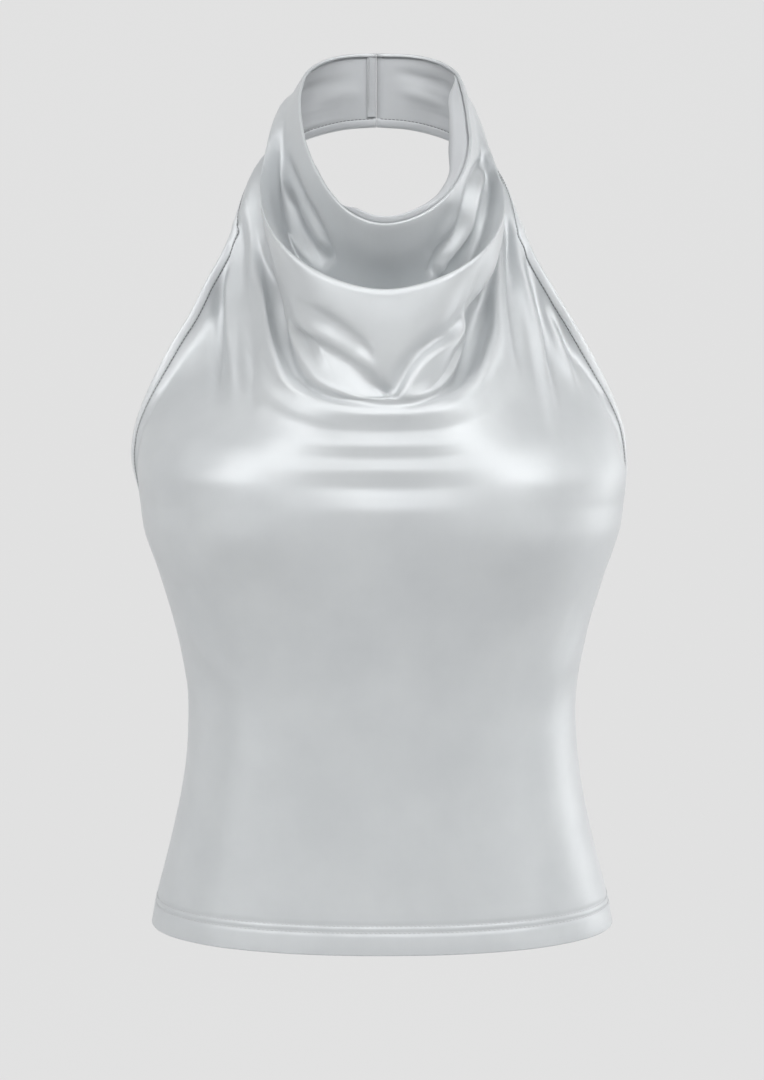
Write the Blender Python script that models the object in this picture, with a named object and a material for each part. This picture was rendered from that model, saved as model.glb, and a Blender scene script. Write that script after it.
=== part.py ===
"""A sleeveless halter top with a deep cowl, filled out as it is worn, with nobody in it.

The front is one cloth. Its lower half is a shaped torso panel, its upper half hangs in swags between the
sides of the neck, and its two ends pass behind the neck and meet in a seam. A plain back panel closes the
torso below the arms. Narrow bindings wrap the armhole edges, a facing lies inside the cowl, and the hem
is turned up inside.

Frame: metres, +Z up, the front faces -Y, +X is on the right of someone who looks at the front, and left
and right in the names below are that onlooker's. The origin is the middle of the neck loop, level with
the middle of the band behind the neck. The tables are in mm.
"""

import math
from collections import namedtuple

import bmesh
import bpy
from mathutils import Vector
from mathutils.bvhtree import BVHTree

MM = 0.001
CLOTH = 1.2  # thickness of one layer
GAP = 0.3  # between two pieces that touch in the real garment
SEAM_Y = -10  # the side seams lie on this plane
COLUMNS = 18  # grid columns from the centre front to one edge
BAND_COLUMNS = 8  # grid columns from the side of the neck to the seam behind it
SATIN_COLOUR = (0.72, 0.74, 0.75)
SATIN_ROUGHNESS = 0.35

# ---- the front cloth -----------------------------------------------------------------------------
# One row for each guide line across the front, from the hem up to the free edge of the cowl. A guide
# hangs between its two edge points like a swag: centre_y and centre_z are its lowest point, edge_x,
# edge_y and edge_z the point where it meets the side seam, the armhole edge or the side of the neck.
# round is 1 for a V, 2 for an ellipse and more for a squarer U. roll lifts a soft fold along the middle
# of the guide, or sinks one. steps is the number of grid rows from this guide to the next.
Guide = namedtuple("Guide", "name centre_y centre_z edge_x edge_y edge_z round lean roll steps")
FRONT = [
    Guide("hem", -112, -541, 151, -10, -540, 2.2, 1, 0, 1),
    Guide("hem_top", -110, -525, 148, -10, -524, 2.25, 1, 0, 2),
    Guide("hip", -105, -488, 138.5, -10, -488, 2.4, 1, 0, 3),
    Guide("belly", -99, -436, 128, -10, -435, 2.6, 1, 0, 3),
    Guide("waist", -100, -392, 126, -10, -389, 2.6, 1, 0, 3),
    Guide("ribs", -111, -348, 134, -10, -343, 2.6, 1, 0, 3),
    Guide("under_bust", -126, -311, 144, -10, -308, 2.6, 1, 0, 2),
    Guide("apex", -136, -277, 153, -10, -284, 2.6, 1, 0, 2),
    Guide("roll_5", -135, -254, 155.5, -10, -265, 2.6, 1, 1.0, 2),
    Guide("dip_4", -133, -243, 157, -18, -242, 2.6, 1, -1.2, 2),
    Guide("roll_4", -132, -234, 153, -29, -215, 2.6, 1.3, 1.6, 2),
    Guide("dip_3", -130, -226, 142, -35, -188, 2.6, 1.6, -1.6, 2),
    Guide("roll_3", -128, -218, 127, -33, -160, 2.7, 1.9, 1.8, 2),
    Guide("dip_2", -125, -209, 108, -26, -128, 2.8, 2.0, -2, 3),
    Guide("shoulder", -124, -206, 92.5, -14, -94, 3, 1.6, 0, 1),
    Guide("roll_2", -126, -202, 87, -6, -74, 3, 1.4, 2, 2),
    Guide("groove", -118, -198, 82.5, -2, -66, 3, 1.3, 0, 1),
    Guide("lip", -129, -195, 79, 0, -59, 2.5, 1.2, 0, 2),
    Guide("pleat_edge", -130, -192, 77.5, 0, -55, 1.35, 1, 0, 1),
    Guide("pleat_fold", -128, -186, 75.5, 0, -49, 1.35, 1, 0, 3),
    Guide("pouch_face", -119, -157, 73, 0, -42, 1.9, 1, 0, 3),
    Guide("pouch_top", -113, -128, 68, -1, -32, 2.1, 1, 0, 3),
    Guide("pocket", -84, -147, 62, -3, -23, 2.1, 1, 0, 3),
    Guide("inner_face", -84, -114, 58, -4, -16, 2.0, 1, 0, 2),
    Guide("rim", -81, -88.5, 55, -5, -10, 2.0, 1, 0, 0),
]
UNDER_ARM = "roll_5"  # the side seams end at this guide
STRAP_FOOT = "shoulder"  # the guides from here to the rim run on round the back of the neck
CENTRE_X = 2  # the swags of the cowl hang a little to the right of the middle

# Where one side of a guide hangs otherwise than the other. out moves its edge outwards and up moves it
# up, belly moves its flank outwards, and push moves it forwards around the angle at.
Flank = namedtuple("Flank", "guide side out up belly push at")
FLANKS = [
    Flank("shoulder", "left", 3, 2, 0, 0, 45),
    Flank("shoulder", "right", -3, -1, 0, 0, 45),
    Flank("roll_2", "left", 3, 8, -5, 0, 45),
    Flank("roll_2", "right", -3, -8, -5, 0, 45),
    Flank("groove", "left", 3, 9, -8, -4, 60),
    Flank("groove", "right", -3, -9, -11, -4, 60),
    Flank("lip", "left", 2, 9, -7, 3, 45),
    Flank("lip", "right", -2, -8, -10, 0, 45),
    Flank("pleat_edge", "left", 2, 7, 0, -1, 30),
    Flank("pleat_edge", "right", -3, -7, 15, 5, 35),
    Flank("pleat_fold", "left", 2, 7, 0, -5.5, 30),
    Flank("pleat_fold", "right", -3, -7, 14, -1, 35),
    Flank("pouch_face", "left", 3, 4, 9, -1, 30),
    Flank("pouch_face", "right", -2, -5, 13, 0, 45),
    Flank("pouch_top", "left", 3, 2, 12, 1, 45),
    Flank("pouch_top", "right", -1, -3, 17, 1, 45),
    Flank("pocket", "left", 2, 0, 7, 0, 45),
    Flank("pocket", "right", -1, 0, 11, 0, 45),
    Flank("inner_face", "left", 1, 0, 2, 0, 45),
    Flank("inner_face", "right", 0, 0, 8, 0, 45),
    Flank("rim", "left", 0, 0, -2, 0, 45),
    Flank("rim", "right", 0, 0, 6, 0, 45),
]

# The seam behind the neck, where the two ends of the front cloth meet.
NECK_SEAM_X = -3.5
NECK_SEAM_Y = 58
NECK_SEAM_TOP = 26
NECK_SEAM_FOOT = -20.5
NECK_MIDDLE_Y = -10

# Extra fullness of the cloth over the bust, as a soft mound on each side.
BUST_X, BUST_Z, BUST_SPREAD, BUST_FULLNESS = 78, -268, 42, 6
ROLL_REACH = 62  # how far the soft folds over the bust reach from the middle

# Soft folds that fall from the sides of the neck, over the chest below the cowl or inside its swag. Each
# is a straight ridge, or a trough where its height is negative, from its top to its foot as seen from
# the front.
Fold = namedtuple("Fold", "zone top_x top_z foot_x foot_z width height")
FOLDS = [
    Fold("chest", -96, -90, -100, -200, 7, 2.6),
    Fold("chest", -104, -128, -111, -190, 5, -1.8),
    Fold("chest", -89, -110, -92, -170, 4, -2.2),
    Fold("chest", -83, -128, -84, -205, 5, 2.0),
    Fold("chest", 79, -100, 77, -185, 5, 2.6),
    Fold("chest", 85, -110, 91, -195, 5, -2.6),
    Fold("chest", 93, -110, 108, -205, 6, 2.4),
    Fold("chest", 104, -150, 115, -205, 5, -1.4),
    Fold("swag", -67, -42, -44, -116, 4, -3.0),
    Fold("swag", -58, -36, -36, -118, 4, 2.6),
    Fold("swag", -49, -46, -27, -120, 4, -1.8),
    Fold("swag", 66, -36, 31, -124, 4, 4.0),
    Fold("swag", 72, -50, 46, -120, 4, -2.0),
]

# ---- the back panel ------------------------------------------------------------------------------
BACK = [
    Guide("hem", 90, -540, 151, -10, -540, 2.4, 1, 0, 1),
    Guide("hem_top", 88, -524, 148, -10, -524, 2.4, 1, 0, 2),
    Guide("hip", 80, -488, 138.5, -10, -488, 2.4, 1, 0, 2),
    Guide("small_of_back", 68, -435, 128, -10, -435, 2.4, 1, 0, 2),
    Guide("waist", 66, -389, 126, -10, -389, 2.4, 1, 0, 2),
    Guide("ribs", 74, -346, 134, -10, -343, 2.5, 1, 0, 2),
    Guide("under_arm", 86, -312, 144, -10, -308, 2.6, 1, 0, 2),
    Guide("top_edge", 92, -290, 153, -10, -284, 2.6, 1, 0, 1),
    Guide("top", 94, -278, 155.5, -10, -265, 2.6, 1, 0, 0),
]
BACK_COLUMNS = 14

# ---- the small pieces ----------------------------------------------------------------------------
BINDING_WIDTH = 5
BINDING_CLOTH = 0.9
BINDING_GAP = 0.35
HEM_CLOTH = 1.0
FACING_CLOTH = 0.9
FACING_ROWS = 4  # grid rows of the cowl that the facing lines
ALLOWANCE_WIDTH = 6
ALLOWANCE_CLOTH = 0.9

# How far the free edge of the cowl's facing stands above the rim, and how far inside it, at angles of
# the rim. Angles beyond 90 go on round the neck.
Stand = namedtuple("Stand", "angle above inside")
FACING = [
    Stand(-60, 0, 0.3),
    Stand(-35, 0, 0.3),
    Stand(-20, 5.5, 1.5),
    Stand(20, 5.5, 2),
    Stand(45, 3.5, 6),
    Stand(68, 1, 13),
    Stand(90, 0, 10),
    Stand(118, 0, 1),
]


def flank_of(guide, side):
    for flank in FLANKS:
        if flank.guide == guide.name and flank.side == side:
            return flank
    return Flank(guide.name, side, 0, 0, 0, 0, 45)


def swag(guide, angle):
    """The point of a guide line at an angle, from -90 at its left end over 0 at its centre to 90."""
    a = math.radians(abs(angle))
    sign = -1 if angle < 0 else 1
    flank = flank_of(guide, "left" if angle < 0 else "right")
    power = 2 / guide.round
    drop = max(0.0, math.cos(a)) ** power
    x = (guide.edge_x + flank.out) * math.sin(a) ** power
    x += flank.belly * 2.6 * math.sin(a) ** 2 * math.cos(a)
    y = guide.edge_y + (guide.centre_y - guide.edge_y) * drop**guide.lean
    y -= flank.push * bump(abs(angle) - flank.at, 20) * min(1.0, abs(angle) / 15)
    y -= guide.roll * bump(x, ROLL_REACH) ** 2
    edge_z = guide.edge_z + flank.up
    z = edge_z + (guide.centre_z - edge_z) * drop
    return Vector((sign * x, y, z))


def spline(points, steps):
    """Points on a smooth curve through the given points, with steps[k] parts after point k."""
    ends = [2 * points[0] - points[1], *points, 2 * points[-1] - points[-2]]
    out = []
    for k in range(len(points) - 1):
        p = ends[k : k + 4]
        t = [0.0]
        for i in range(3):
            t.append(t[-1] + max(1e-6, (p[i + 1] - p[i]).length) ** 0.5)
        for step in range(steps[k]):
            now = t[1] + (t[2] - t[1]) * step / steps[k]
            out.append(through(p, t, now))
    return [*out, points[-1].copy()]


def through(p, t, now):
    """The point at now of the curve that passes its four points p at the values t."""

    def mix(a, b, start, end):
        return a * ((end - now) / (end - start)) + b * ((now - start) / (end - start))

    first = [mix(p[i], p[i + 1], t[i], t[i + 1]) for i in range(3)]
    second = [mix(first[i], first[i + 1], t[i], t[i + 2]) for i in range(2)]
    return mix(second[0], second[1], t[1], t[2])


def bump(distance, width):
    """A soft mound, 1 at the middle and almost 0 at twice the width."""
    return math.exp(-((distance / width) ** 2))


def fold_height(zone, point):
    """How far the soft folds of a zone lift the cloth at a point."""
    height = 0.0
    for fold in FOLDS:
        if fold.zone != zone:
            continue
        top = Vector((fold.top_x, fold.top_z))
        along = Vector((fold.foot_x, fold.foot_z)) - top
        here = Vector((point.x, point.z)) - top
        share = here.dot(along) / along.length_squared
        if 0 < share < 1:
            off = (here - along * share).length
            height += fold.height * math.sin(math.pi * share**0.7) * bump(off, fold.width)
    return height


def fullness(point):
    """How far the bust lifts the cloth at a point of the front."""
    off = Vector((abs(point.x) - BUST_X, point.z - BUST_Z)).length
    return BUST_FULLNESS * bump(off, BUST_SPREAD)


def row_of(name):
    """The grid row on which a guide of the front lies."""
    names = [guide.name for guide in FRONT]
    return sum(guide.steps for guide in FRONT[: names.index(name)])


def angles(columns):
    """The angles of a guide's grid columns, closer together at its centre."""
    half = [90 * (k / columns) ** 1.15 for k in range(1, columns + 1)]
    return [*[-angle for angle in reversed(half)], 0, *half]


def front_grid():
    """The outer face of the front cloth, as rows of points from the left to the right."""
    steps = [guide.steps for guide in FRONT]
    columns = [spline([swag(guide, angle) for guide in FRONT], steps) for angle in angles(COLUMNS)]
    rows = [list(row) for row in zip(*columns)]
    for row in rows[: row_of(UNDER_ARM) + 1]:
        row[0].y = row[-1].y = SEAM_Y
    for k, row in enumerate(rows):
        for point in row[1:-1]:
            if k < row_of("groove"):
                point.y -= fullness(point) + fold_height("chest", point)
            if k > row_of("pocket"):
                point.y -= fold_height("swag", point)
    first = row_of("dip_2")
    for k, row in enumerate(rows):
        shift = CENTRE_X * min(1.0, max(0.0, (k - first) / 4))
        for point, angle in zip(row, angles(COLUMNS)):
            point.x += shift * math.cos(math.radians(angle))
    return rows


def band_point(start, share, turn):
    """A point of the neck band: start is its point at the side of the neck, and turn goes to 90."""
    a = math.radians(turn)
    seam_z = NECK_SEAM_FOOT + (NECK_SEAM_TOP - NECK_SEAM_FOOT) * share
    across = max(0.0, math.cos(a)) ** (1 - 0.3 * share)
    x = NECK_SEAM_X + (start.x - NECK_SEAM_X) * across
    y = start.y + (NECK_SEAM_Y - start.y) * math.sin(a) ** (0.9 - 0.1 * share)
    z = start.z + (seam_z - start.z) * math.sin(a) ** (0.87 - 0.22 * share)
    return Vector((x, y, z))


def with_bands(rows):
    """The grid with the rows of the cowl carried on round the neck to the seam behind it."""
    foot = row_of(STRAP_FOOT)
    last = len(rows) - 1
    out = [list(row) for row in rows]
    for k in range(foot, last + 1):
        share = (k - foot) / (last - foot)
        turns = [90 * (c / BAND_COLUMNS) ** 1.2 for c in range(1, BAND_COLUMNS + 1)]
        left = [band_point(rows[k][0], share, turn) for turn in turns]
        right = [band_point(rows[k][-1], share, turn) for turn in turns]
        left[-1].x -= GAP / 2
        right[-1].x += GAP / 2
        out[k] = eased([*reversed(left), *rows[k], *right], min(1.0, share * 6))
    round_corners(out)
    return out


def eased(row, strength):
    """The row with its two bends at the sides of the neck smoothed."""
    bends = (BAND_COLUMNS, len(row) - 1 - BAND_COLUMNS)
    for _ in range(3):
        now = [point.copy() for point in row]
        for bend in bends:
            for i in range(bend - 2, bend + 3):
                smooth = (now[i - 1] + 2 * now[i] + now[i + 1]) / 4
                row[i] = now[i].lerp(smooth, strength)
    return row


def armhole_edge(rows):
    """The points of one armhole edge, from the side seam up and along the foot of the neck band. The
    rows start at that edge."""
    first, foot = row_of(UNDER_ARM), row_of(STRAP_FOOT)
    band = rows[foot][: BAND_COLUMNS + 1]
    return [*[row[0] for row in rows[first:foot]], *reversed(band)]


def round_corners(rows):
    """Rounds each armhole edge where the strap turns back round the neck."""
    corner = row_of(STRAP_FOOT) - row_of(UNDER_ARM)
    for side in (rows, [row[::-1] for row in rows]):
        edge = armhole_edge(side)
        for _ in range(4):
            now = [point.copy() for point in edge]
            for i in range(corner - 3, corner + 4):
                edge[i].xyz = (now[i - 1] + 2 * now[i] + now[i + 1]) / 4


def faces_of(rows):
    """The triangles between rows of things, the same on the left and on the right. A row may have the
    same number of extra things at each of its ends."""
    for low, high in zip(rows, rows[1:]):
        extra = (len(high) - len(low)) // 2
        if extra > 0:
            high = high[extra:-extra]
        for i in range(len(low) - 1):
            if i < (len(low) - 1) / 2:
                yield low[i], low[i + 1], high[i + 1]
                yield low[i], high[i + 1], high[i]
            else:
                yield low[i], low[i + 1], high[i]
                yield low[i + 1], high[i + 1], high[i]


def outer_sheet(rows):
    """A bmesh of the outer face of a grid, and its vertices in rows."""
    bm = bmesh.new()
    verts = [[bm.verts.new(point * MM) for point in row] for row in rows]
    for corners in faces_of(verts):
        bm.faces.new(corners)
    bm.normal_update()
    return bm, verts


def normals_of(rows, side_y):
    """The outward normal at each point of a grid. Where a seam ends the cloth, the normal stays in the
    plane of the seam."""
    bm, verts = outer_sheet(rows)
    normals = [[vert.normal.copy() for vert in row] for row in verts]
    bm.free()
    for row, row_normals in zip(rows, normals):
        for point, normal in zip((row[0], row[-1]), (row_normals[0], row_normals[-1])):
            if abs(point.y - side_y) < 1e-3:
                normal.y = 0
            if abs(point.x - NECK_SEAM_X) < GAP:
                normal.x = 0
            normal.normalize()
    return normals


def moved_in(rows, normals, depth):
    return [[p - n * depth for p, n in zip(*pair)] for pair in zip(rows, normals)]


def slab(outer, inner):
    """A closed body between the outer and the inner grid of a layer of cloth."""
    bm, outside = outer_sheet(outer)
    rim = [edge for edge in bm.edges if edge.is_boundary]
    inside = [[bm.verts.new(point * MM) for point in row] for row in inner]
    partner = {}
    for row, inner_row in zip(outside, inside):
        partner.update(zip(row, inner_row))
    for corners in faces_of(inside):
        bm.faces.new(reversed(corners))
    for edge in rim:
        loop = edge.link_loops[0]
        start, end = loop.vert, loop.link_loop_next.vert
        bm.faces.new((end, start, partner[start], partner[end]))
    bmesh.ops.recalc_face_normals(bm, faces=bm.faces[:])
    return bm


def layer(rows, normals, depth, cloth):
    """A layer of cloth behind a grid, its outer face at a depth below the grid."""
    return slab(moved_in(rows, normals, depth), moved_in(rows, normals, depth + cloth))


def satin(name):
    """The material of one piece: silver satin, with its bright side outwards."""
    made = bpy.data.materials.new(name)
    made.use_nodes = True
    shader = made.node_tree.nodes["Principled BSDF"]
    shader.inputs["Base Color"].default_value = (*SATIN_COLOUR, 1)
    shader.inputs["Roughness"].default_value = SATIN_ROUGHNESS
    shader.inputs["Metallic"].default_value = 0.0
    return made


def add(name, bm):
    mesh = bpy.data.meshes.new(name)
    bm.to_mesh(mesh)
    bm.free()
    mesh.shade_smooth()
    mesh.materials.append(satin(name))
    made = bpy.data.objects.new(name, mesh)
    bpy.context.scene.collection.objects.link(made)
    return made


def back_grid():
    """The outer face of the back panel, as rows of points from its right side to its left."""
    steps = [guide.steps for guide in BACK]
    columns = [
        spline([swag(guide, angle) for guide in BACK], steps)
        for angle in reversed(angles(BACK_COLUMNS))
    ]
    rows = [list(row) for row in zip(*columns)]
    for row in rows:
        row[0].y = row[-1].y = SEAM_Y + GAP
    return rows


def binding(edge, inner_edge, inwards, trees):
    """A narrow strip folded round an edge of the cloth. edge and inner_edge hold the edge's points on
    the outer and the inner face, inwards the direction into the cloth at each, and trees find the
    nearest point of either face."""
    outer, inner = [], []
    for point, inner_point, inward in zip(edge, inner_edge, inwards):
        aims = [point + inward * BINDING_WIDTH * share for share in (0.5, 1)]
        outer.append([point, *[trees[0].find_nearest(aim)[0] for aim in aims]])
        inner.append([inner_point, *[trees[1].find_nearest(p)[0] for p in outer[-1][1:]]])
    normals = [[(o - i).normalized() for o, i in zip(*pair)] for pair in zip(outer, inner)]
    outer_lift = lifts(outer, normals, trees[0], 1)
    inner_lift = lifts(inner, normals, trees[1], -1)
    bm = bmesh.new()
    sections = []
    for k, inward in enumerate(inwards):
        rings = []
        for space in (BINDING_CLOTH, 0):
            beyond = inward * (BINDING_GAP + space)
            outside, inside = [], []
            for j, normal in enumerate(normals[k]):
                outside.append(outer[k][j] + normal * (outer_lift[k][j] + space))
                inside.append(inner[k][j] - normal * (inner_lift[k][j] + space))
            outside[0] -= beyond
            inside[0] -= beyond
            rings.append([*reversed(outside), *inside])
        sections.append([bm.verts.new(p * MM) for p in (*rings[0], *reversed(rings[1]))])
    count = len(sections[0])
    for here, there in zip(sections, sections[1:]):
        for i in range(count):
            j = (i + 1) % count
            bm.faces.new((here[i], here[j], there[j], there[i]))
    for ends in (sections[0], sections[-1]):
        for i in range(count // 2 - 1):
            bm.faces.new((ends[i], ends[i + 1], ends[-2 - i], ends[-1 - i]))
    bmesh.ops.recalc_face_normals(bm, faces=bm.faces[:])
    return bm


def lifts(points, normals, tree, side):
    """How far a strip has to lie off the cloth at each of its points, so that it also clears the cloth
    between them. side is 1 on the outer face and -1 on the inner."""
    lift = [[BINDING_GAP] * len(row) for row in points]
    pairs = []
    for k in range(len(points) - 1):
        for j in range(len(points[k])):
            pairs += [((k, j), (k + 1, other)) for other in (j - 1, j, j + 1) if 0 <= other < 3]
    for _ in range(5):
        for a, b in pairs:
            ends = [points[k][j] + normals[k][j] * side * lift[k][j] for k, j in (a, b)]
            for share in (0.25, 0.5, 0.75):
                place = ends[0].lerp(ends[1], share)
                found, normal = tree.find_nearest(place)[:2]
                short = BINDING_GAP - (place - found).dot(normal) * side
                if short > 0:
                    for k, j in (a, b):
                        lift[k][j] += short * 0.6
    return lift


def tree_of(rows):
    """Finds the nearest point on the faces of a grid, in mm."""
    index = {}
    points = []
    for k, row in enumerate(rows):
        for i, point in enumerate(row):
            index[k, i] = len(points)
            points.append(point)
    names = [[index[k, i] for i in range(len(row))] for k, row in enumerate(rows)]
    return BVHTree.FromPolygons(points, list(faces_of(names)))


def inwards_of(edge, inner_edge, side):
    """The direction into the cloth at each point of an edge. side is 1 where the cloth lies to the left
    of someone who walks along the edge on its outer face, else -1."""
    out = []
    for k, point in enumerate(edge):
        ahead = edge[min(k + 1, len(edge) - 1)] - edge[max(k - 1, 0)]
        out.append((point - inner_edge[k]).cross(ahead).normalized() * side)
    return out


def halved(line):
    """A line of points with one more between each two."""
    out = []
    for here, there in zip(line, line[1:]):
        out += [here, (here + there) / 2]
    return [*out, line[-1]]


def armhole_binding(rows, inner_rows, right):
    trees = tree_of(rows), tree_of(inner_rows)
    if right:
        rows = [row[::-1] for row in rows]
        inner_rows = [row[::-1] for row in inner_rows]
    edge, inner_edge = halved(armhole_edge(rows)), halved(armhole_edge(inner_rows))
    inwards = inwards_of(edge, inner_edge, 1 if right else -1)
    first = row_of(UNDER_ARM)
    inwards[0] = (rows[first - 1][0] - edge[0]).normalized()
    inwards[-1].x = 0
    inwards[-1].normalize()
    return binding(edge, inner_edge, inwards, trees)


def back_binding(rows, inner_rows):
    edge, inner_edge = rows[-1], inner_rows[-1]
    inwards = inwards_of(edge, inner_edge, -1)
    for end in (0, -1):
        inwards[end] = (rows[-2][end] - edge[end]).normalized()
    return binding(edge, inner_edge, inwards, (tree_of(rows), tree_of(inner_rows)))


def facing_stand(angle):
    """How far the facing's free edge stands above and inside the rim at an angle."""
    for low, high in zip(FACING, FACING[1:]):
        if low.angle <= angle <= high.angle:
            t = (angle - low.angle) / (high.angle - low.angle)
            t = t * t * (3 - 2 * t)
            return [a + (b - a) * t for a, b in zip(low[1:], high[1:])]
    return [FACING[-1].above, FACING[-1].inside]


def facing(rows, normals):
    """The facing inside the rim of the cowl."""
    round_neck = [90 + 90 * (c / BAND_COLUMNS) ** 1.2 for c in range(1, BAND_COLUMNS + 1)]
    places = [*[-a for a in reversed(round_neck)], *angles(COLUMNS), *round_neck]
    span = [i for i, a in enumerate(places) if FACING[0].angle <= a <= FACING[-1].angle]
    low = [[row[i] for i in span] for row in rows[-FACING_ROWS:]]
    low_normals = [[row[i] for i in span] for row in normals[-FACING_ROWS:]]
    behind = moved_in(low, low_normals, CLOTH + GAP)
    top, below = [], []
    for i, point, before in zip(span, behind[-1], behind[-2]):
        above, inside = facing_stand(places[i])
        up = point - before
        into = Vector((-point.x, NECK_MIDDLE_Y - point.y, 0)).normalized()
        below.append(point - up * min(0.5, 3 / up.length))
        top.append(point + up.normalized() * above + into * inside)
    return [*behind[:-1], below, top]


def allowance(rows, normals):
    """The seam allowance behind the neck, pressed to the left on the inner face of the band."""
    outer, inner = [], []
    for k in range(row_of(STRAP_FOOT) + 4, len(rows)):
        start = rows[k][0] - normals[k][0] * CLOTH
        end = rows[k][1] - normals[k][1] * CLOTH
        along = (end - start).normalized()
        normal = normals[k][0] - along * normals[k][0].dot(along)
        normal.normalize()
        ends = [start + along * 0.5, start + along * (0.5 + ALLOWANCE_WIDTH)]
        outer.append([p - normal * GAP for p in reversed(ends)])
        inner.append([p - normal * (GAP + ALLOWANCE_CLOTH) for p in reversed(ends)])
    return slab(outer, inner)


def main():
    for old in list(bpy.data.objects):
        bpy.data.objects.remove(old)
    front = with_bands(front_grid())
    front_normals = normals_of(front, SEAM_Y)
    add("front_panel", layer(front, front_normals, 0, CLOTH))
    back = back_grid()
    back_normals = normals_of(back, SEAM_Y + GAP)
    add("back_panel", layer(back, back_normals, 0, CLOTH))
    inside = CLOTH + GAP
    add("front_hem", layer(front[:2], front_normals[:2], inside, HEM_CLOTH))
    add("back_hem", layer(back[:2], back_normals[:2], inside, HEM_CLOTH))
    inner = moved_in(front, front_normals, CLOTH)
    add("left_armhole_binding", armhole_binding(front, inner, False))
    add("right_armhole_binding", armhole_binding(front, inner, True))
    add("back_binding", back_binding(back, moved_in(back, back_normals, CLOTH)))
    lined = facing(front, front_normals)
    add("cowl_facing", layer(lined, normals_of(lined, SEAM_Y), 0, FACING_CLOTH))
    add("neck_seam_allowance", allowance(front, front_normals))


main()
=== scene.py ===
# %% [markdown]
# # A halter top in silver satin
#
# The top is filled out as it is worn, with nobody in it. One large cloth makes the whole front: a shaped
# torso, a cowl that hangs in swags between the sides of the neck, and two ends that meet in a seam behind
# the neck. A plain back panel, narrow bindings, a facing and a twin-stitched hem finish it.
#
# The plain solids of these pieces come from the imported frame. They say where every piece is and how big.
# The cells below dress them: each makes one sewn piece, or one finish, in the same place and in metres.

import math
from collections import namedtuple

import bmesh
import bpy
import numpy as np
from mathutils import Matrix, Vector, noise
from mathutils.bvhtree import BVHTree


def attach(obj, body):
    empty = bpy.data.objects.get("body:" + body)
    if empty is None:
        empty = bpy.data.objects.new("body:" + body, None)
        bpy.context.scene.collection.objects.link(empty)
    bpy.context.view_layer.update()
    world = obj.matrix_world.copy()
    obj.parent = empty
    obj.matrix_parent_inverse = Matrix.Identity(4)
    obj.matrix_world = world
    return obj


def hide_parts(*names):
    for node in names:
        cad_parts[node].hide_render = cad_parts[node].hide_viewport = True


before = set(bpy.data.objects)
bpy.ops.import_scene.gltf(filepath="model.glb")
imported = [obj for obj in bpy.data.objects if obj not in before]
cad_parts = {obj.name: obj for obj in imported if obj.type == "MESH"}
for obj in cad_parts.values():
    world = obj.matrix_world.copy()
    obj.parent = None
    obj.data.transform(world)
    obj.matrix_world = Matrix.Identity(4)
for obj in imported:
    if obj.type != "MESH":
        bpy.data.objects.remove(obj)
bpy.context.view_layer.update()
MM = 0.001
print("solids:", ", ".join(sorted(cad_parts)))

# %% [markdown]
# ## Camera
#
# A long lens from nearly two metres away keeps the proportions of a garment true. The camera stands
# straight in front, a little above the middle of the top, and looks a few degrees down.


# %% A camera in front
def aimed(made, place, target):
    """Links an object at a place and turns it towards a target."""
    bpy.context.scene.collection.objects.link(made)
    made.location = place
    made.rotation_euler = (Vector(target) - Vector(place)).to_track_quat("-Z", "Y").to_euler()
    return made


lens = bpy.data.cameras.new("front camera")
lens.lens = 97.8
lens.sensor_width = 36
camera = aimed(bpy.data.objects.new("front camera", lens), (0, -1.910, -0.125), (0, -0.010, -0.291))
bpy.context.scene.camera = camera
print("camera", tuple(round(v, 3) for v in camera.location))

# %% [markdown]
# ## Studio
#
# Satin shows its light more than its colour, so the studio matters. A pale sheet, bent from floor to wall
# in one soft curve, gives an even ground. It starts as a profile of two straight lines, drawn out
# sideways, and a wide bevel rounds the crease between them. The paper glows a little by itself, so that
# it stays even wherever the lamps fall.

# %% Floor and wall
FLOOR_Z = -1.15
WALL_Y = 4.4
STUDIO_HALF_WIDTH = 6


def backdrop():
    """A profile of floor and wall, drawn out sideways, with its corner rounded."""
    bm = bmesh.new()
    profile = [(-6, FLOOR_Z), (WALL_Y, FLOOR_Z), (WALL_Y, 6)]
    points = [bm.verts.new((STUDIO_HALF_WIDTH, y, z)) for y, z in profile]
    lines = [bm.edges.new(pair) for pair in zip(points, points[1:])]
    drawn = bmesh.ops.extrude_edge_only(bm, edges=lines)["geom"]
    moved = [part for part in drawn if isinstance(part, bmesh.types.BMVert)]
    bmesh.ops.translate(bm, vec=(-2 * STUDIO_HALF_WIDTH, 0, 0), verts=moved)
    corner = [edge for edge in bm.edges if not edge.is_boundary]
    bmesh.ops.bevel(
        bm, geom=corner, offset=1.4, segments=24, profile=0.5, affect="EDGES", material=-1
    )
    mesh = bpy.data.meshes.new("backdrop")
    bm.to_mesh(mesh)
    bm.free()
    mesh.shade_smooth()
    return mesh


pale = bpy.data.materials.new("pale paper")
pale.use_nodes = True
paper = pale.node_tree.nodes["Principled BSDF"]
paper.inputs["Base Color"].default_value = (0.05, 0.05, 0.05, 1)
paper.inputs["Roughness"].default_value = 0.9
paper.inputs["Specular IOR Level"].default_value = 0.0
paper.inputs["Emission Color"].default_value = (1, 1, 1, 1)
paper.inputs["Emission Strength"].default_value = 0.72
sheet_mesh = backdrop()
sheet_mesh.materials.append(pale)
stage = bpy.data.objects.new("backdrop", sheet_mesh)
bpy.context.scene.collection.objects.link(stage)
print("backdrop:", len(sheet_mesh.polygons), "faces")

# %% [markdown]
# The lamps are large sheets of light, because satin turns a small lamp into a hard spot. Those high in
# front light the slopes that face up: the tops of the folds and the swell of the bust. A wide one low in
# front, with two smaller ones beside it, fills the slopes that face down, which would go dark. The two
# behind the sides draw a thin line of light along the outline. All of them look at the middle of the top.

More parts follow.
